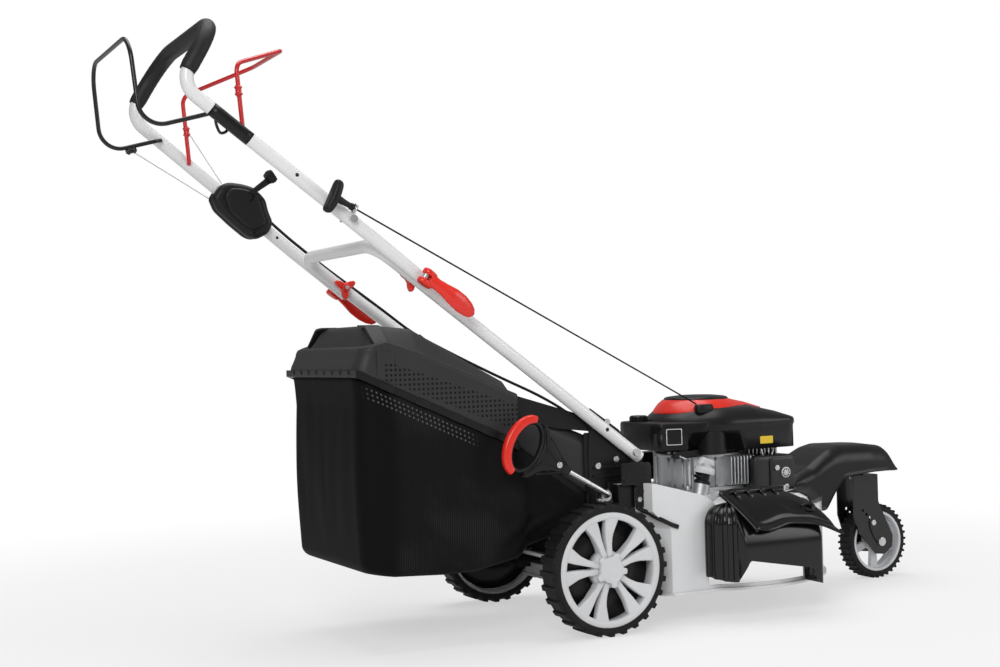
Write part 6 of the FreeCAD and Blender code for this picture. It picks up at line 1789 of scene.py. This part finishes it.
@dataclass
class Controls(Assembly):
    """Two-shell control box with its lever, and the starter's T grip."""

    body: str = "upper_handle"
    middle: Sequence[float] = (-574.07, 202.27, 859.15)
    guide: Sequence[float] = (-488.2, -228.5, 811.05)
    pull: Sequence[float] = (-0.8770, -0.1664, 0.4087)
    half_grip: float = 32.0

    def box(self) -> None:
        """The box: two shells with deep soft edges that meet at a seam, and a raised step."""
        outline = soft_outline([(-52, 10), (-36, 34), (-18, 42), (11, 39), (34, 33), (50, 19), (60, 7),
                                (64, -14), (74, -38), (64, -60), (37, -73), (20, -68), (-12, -42),
                                (-42, -14)], 9, 4)
        step = soft_outline([(-30, 14), (-16, 30), (8, 29), (28, 24), (42, 12), (50, -14), (58, -40),
                             (34, -56), (14, -48), (-20, -18)], 9, 4)
        for name, shape, node in (("near", pillow(outline, -27, -1.2, 12, 8), "control_box"),
                                  ("far", pillow(outline * 0.985, -0.2, 20, 9, 8), ""),
                                  ("step", pillow(step, -33, -19, 6, 8), "")):
            self.plate("box_" + name, shape, self.middle, Side.LEFT.face, self.palette.black_plastic,
                       "black_plastic", replaces=node)

    def lever(self) -> None:
        """The speed lever: a flat arm that ends in a ribbed thumb pad."""
        finish = (self.palette.black_plastic, "black_plastic")
        body = "control_lever"
        pin = np.array(self.middle) + (26, -27, 26)
        arm = pillow(soft_outline([(-8, -6), (4, -9), (40, 14), (34, 27)], 3), -9, -1, 1.5)
        self.plate("speed_arm", arm, pin, Side.LEFT.face, *finish, body=body, replaces=body)
        along = np.array((0.83, 0, 0.557))
        axes = ((-0.557, 0, 0.83), LEFT, along)
        parts = [("core", 47, pillow(box_section(20, 17, 4), -8, 8, 2))]
        for index in range(5):
            pad = box_section(29 - 2.8 * abs(index - 2.5), 22, 4)
            parts.append(("pad_%d" % index, 41 + 3.2 * index, pillow(pad, -1.5, 1.5, 0.8)))
        for name, place, shape in parts:
            self.plate("speed_" + name, shape, pin + along * place + (0, -5, 0), axes, *finish, body=body)

    def t_grip(self) -> None:
        """The T grip: a bar that bows and thins to its ends, on a tapered stem."""
        finish = (self.palette.black_plastic, "black_plastic")
        body = "starter_grip"
        pull = self.pull / np.linalg.norm(self.pull)
        along = np.array((0.52, 0, 0.85))
        along -= pull * along.dot(pull)
        along /= np.linalg.norm(along)
        side = np.cross(pull, along)
        t = np.linspace(-self.half_grip, self.half_grip, 40)
        share = np.abs(t) / self.half_grip
        end = np.sqrt(np.clip(1.02 - share ** 10, 0.02, 1))
        section = swollen(box_section(2, 2, 3.6, 28), 12.5 * (1 - 0.35 * share ** 2) * end,
                          8.5 * (1 - 0.12 * share ** 2) * end)
        path = self.guide + t[:, None] * along + (44 + 2.5 * share[:, None] ** 2) * pull
        self.add("pull_bar", capped(loft(path, section, side, pull)), *finish, body=body, replaces=body)
        t = np.linspace(0.8, 42, 20)
        radius = np.interp(t, [0, 8, 9, 20, 42], [6.5, 6.5, 5, 5.5, 8])
        section = swollen(round_section(1, 24), radius, radius)
        stem = loft(self.guide + t[:, None] * pull, section, side, along)
        self.add("pull_stem", capped(stem), *finish, body=body)

    def build(self) -> None:
        """Builds the controls."""
        self.box()
        self.lever()
        self.t_grip()


@dataclass
class Handle(Assembly):
    """Upper handle, bails with their crimped collars, and the blank label band."""

    body: str = "upper_handle"
    brake_pivot: Sequence[float] = (-726.15, 977.98, 191.2)

    def collar(self, name: str, spot: Sequence[float], along: Sequence[float], material: bpy.types.Material,
               slot: str, body: str) -> None:
        """A crimped collar round a bail rod: a barrel with a bead at each end.

        Args:
            name: the piece's name.
            spot: its middle.
            along: the rod's direction.
            material: the finish.
            slot: the record's material slot.
            body: the body that it rides.
        """
        t = np.linspace(-10, 10, 24)
        radius = 4.6 + 1.9 * np.exp(-((np.abs(t) - 6) / 2) ** 2) + 0.8 * (np.abs(t) < 8)
        path = spot + t[:, None] * along / np.linalg.norm(along)
        self.bar(name, path, swollen(round_section(1, 20), radius, radius), (0.2, 0.9, 0.3), material, slot,
                 body=body)

    def brake_rod(self) -> None:
        """The brake bail: one rod bent in wide arcs, with a small hook at its right foot."""
        finish = (self.palette.black_paint, "black_paint")
        px, pz, side = self.brake_pivot
        half = np.array([(px, side + 7, pz), (px, side - 24, pz), (px - 120, 158, pz - 32),
                         (px - 136, 150, pz + 132)])
        route = np.concatenate([half, half[::-1] * (1, -1, 1)])
        path = spread(soft_corners(route[None], 46, 13), 220)[0]
        self.bar("brake_rod", path, round_section(4, 16), (0.31, 0.02, 0.95), *finish, body="brake_bail",
                 replaces="brake_bail")
        hook = [(px + 5, -177, pz - 6), (px + 6, -180, pz - 22), (px + 14, -180, pz - 36),
                (px + 24, -180, pz - 32), (px + 26, -179, pz - 20)]
        self.bar("brake_hook", curve(hook, 24), round_section(2.6, 12), (0, 1, 0.1), *finish,
                 body="brake_bail")

    def sleeve(self) -> None:
        """The foam sleeve: a round section carried along the grip, drawn in a little at each end."""
        half = np.array([(-771.6, 186.4, 1046.1), (-718, 184, 1139)])
        corners = np.concatenate([half, half[::-1] * (1, -1, 1)])
        path = spread(soft_corners(corners[None], 73, 17, 0.8), 120)[0]
        share = np.linspace(0, 1, len(path))
        ends = np.exp(-(share / 0.012) ** 2) + np.exp(-((1 - share) / 0.012) ** 2)
        radius = 15.3 - 1.6 * ends + 0.12 * np.sin(share * 260)
        section = swollen(round_section(1, 32), radius, radius)
        piece = self.bar("foam_sleeve", path, section, (0.5, 0.01, 0.866), self.palette.foam, "foam",
                         replaces="foam_grip")

    def label_band(self) -> None:
        """The blank band round the right leg."""
        d = np.linspace(394, 478, 8)[:, None]
        half = 211.3 + (187 - 211.3) * (d - 120) / 425
        path = (-355, 0, 688) + d * (-0.788011, 0, 0.615661) - half * LEFT
        self.add("label_band", bar_grid(path, round_section(12.35, 40), LEFT), self.palette.satin_black,
                 "black_plastic")

    def build(self) -> None:
        """Dresses the handle's nodes."""
        p = self.palette
        dress(p.tube_paint, "upper_handle")
        dress(p.red_paint, "drive_bail")
        dress(p.zinc, "cam_bolts", "rope_guide", "bail_wires")
        self.collar("brake_collar", (-788, 163, 953.9), (-76, -7, -23), p.black_paint, "black_paint",
                    "brake_bail")
        for word, spot in (("left", (-675, 178, 997)), ("right", (-678.5, -178, 1018))):
            self.collar("drive_collar_" + word, spot, (-11, 0, 131), p.red_paint, "red_paint", "drive_bail")
        self.label_band()
        self.sleeve()
        self.brake_rod()


# ---------------------------------------------------------------------------------------
# Studio
# ---------------------------------------------------------------------------------------
@dataclass
class Studio:
    """Camera, floor, backdrop colour and soft lights."""

    azimuth: float = 27.06
    pitch: float = 0.64
    roll: float = -1.6
    sensor: float = 36.0
    lens: float = 53.57484
    spot: Sequence[float] = (-1.4652, -2.6993, 0.5508)
    dim: float = 0.28

    def camera(self) -> None:
        """Places the camera: it looks along azimuth and pitch, and is turned by roll."""
        az, el, ro = (math.radians(angle) for angle in (self.azimuth, self.pitch, self.roll))
        look = Vector((math.sin(az) * math.cos(el), math.cos(az) * math.cos(el), math.sin(el)))
        right = Vector((math.cos(az), -math.sin(az), 0))
        up = right.cross(look)
        turned_right = right * math.cos(ro) + up * math.sin(ro)
        turned_up = up * math.cos(ro) - right * math.sin(ro)
        data = bpy.data.cameras.new("view")
        data.sensor_width = self.sensor
        data.lens = self.lens
        camera = bpy.data.objects.new("view", data)
        basis = Matrix((turned_right, turned_up, -look)).transposed().to_4x4()
        camera.matrix_world = Matrix.Translation(self.spot) @ basis
        bpy.context.scene.collection.objects.link(camera)
        bpy.context.scene.camera = camera

    def floor(self) -> None:
        """A wide pale floor that fades to plain white away from the mower, for straight rays.

        Near the mower half of its colour is lit paper, so it keeps the shadow; the share
        falls to nothing 2.4 m out.
        """
        shading = Shading("floor_paper", {"Roughness": 0.9, "Specular IOR Level": 0.1})
        shading.feed(shading.shader.inputs["Base Color"], (0.84, 0.84, 0.84))
        camera, glossy, transmission = (shading.ray(word) for word in ("Camera", "Glossy", "Transmission"))
        place = shading.place()
        distance = shading.node("ShaderNodeVectorMath", {"operation": "LENGTH"}, {0: place}, "Value")
        fade = distance.above(1.5, 1.8) * 0.45 + 0.55
        share = camera * fade + transmission * fade + glossy * 0.3
        glow = shading.node("ShaderNodeEmission", {}, {"Strength": 1.0})
        lit = Field(shading, shading.shader.outputs[0])
        blend = shading.node("ShaderNodeMixShader", {}, {0: share, 1: lit, 2: glow})
        shading.feed(shading.tree.nodes["Material Output"].inputs["Surface"], blend)
        side = 30000.0
        corners = np.array([[(-side, -side, 0), (side, -side, 0)], [(-side, side, 0), (side, side, 0)]])
        grid_piece("floor", corners, False, shading.material)

    def room(self) -> None:
        """A dim white room that looks plain white to straight rays and paler in reflections."""
        world = bpy.data.worlds.new("room")
        world.use_nodes = True
        bpy.context.scene.world = world
        nodes = Nodes(world.node_tree)
        camera, transmission = (nodes.ray(word) for word in ("Camera", "Transmission"))
        background = nodes.tree.nodes["Background"]
        nodes.feed(background.inputs["Color"], (1, 1, 1))
        nodes.feed(background.inputs["Strength"], (camera + transmission) * (1 - self.dim) + self.dim)

    def lights(self) -> None:
        """Soft boxes: a key at the near left, a fill at the front right and one overhead."""
        boxes = (
            ("key", (-2.4, -3.0, 2.4), 1.8, 72.0),
            ("fill", (3.0, -2.4, 1.6), 1.8, 30.0),
            ("top", (0.1, 0.4, 3.4), 2.6, 62.0),
        )
        target = Vector((0.0, 0.0, 0.45))
        for name, spot, size, power in boxes:
            data = bpy.data.lights.new(name, "AREA")
            data.shape = "SQUARE"
            data.size = size
            data.energy = power
            lamp = bpy.data.objects.new(name, data)
            lamp.location = spot
            lamp.rotation_euler = (target - Vector(spot)).to_track_quat("-Z", "Y").to_euler()
            bpy.context.scene.collection.objects.link(lamp)

    def build(self) -> None:
        """Sets up the whole studio."""
        self.camera()
        self.floor()
        self.room()
        self.lights()
        bpy.context.scene.view_settings.view_transform = "Standard"


def main() -> None:
    """Builds every sub-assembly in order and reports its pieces."""
    logging.basicConfig(level=logging.INFO, format="%(name)s: %(message)s")
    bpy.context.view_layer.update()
    Studio().build()
    palette = Palette()
    for kind in (Chassis, Chute, Fender, Engine, RunningGear, HeightLever, FoldJoint, Controls, Handle,
                 GrassBag):
        others = set(bpy.data.objects.keys())
        kind(palette).build()
        for name in sorted(set(bpy.data.objects.keys()) - others):
            LOG.info("%s: %s built", kind.__name__, name)


if __name__ == "__main__":
    main()
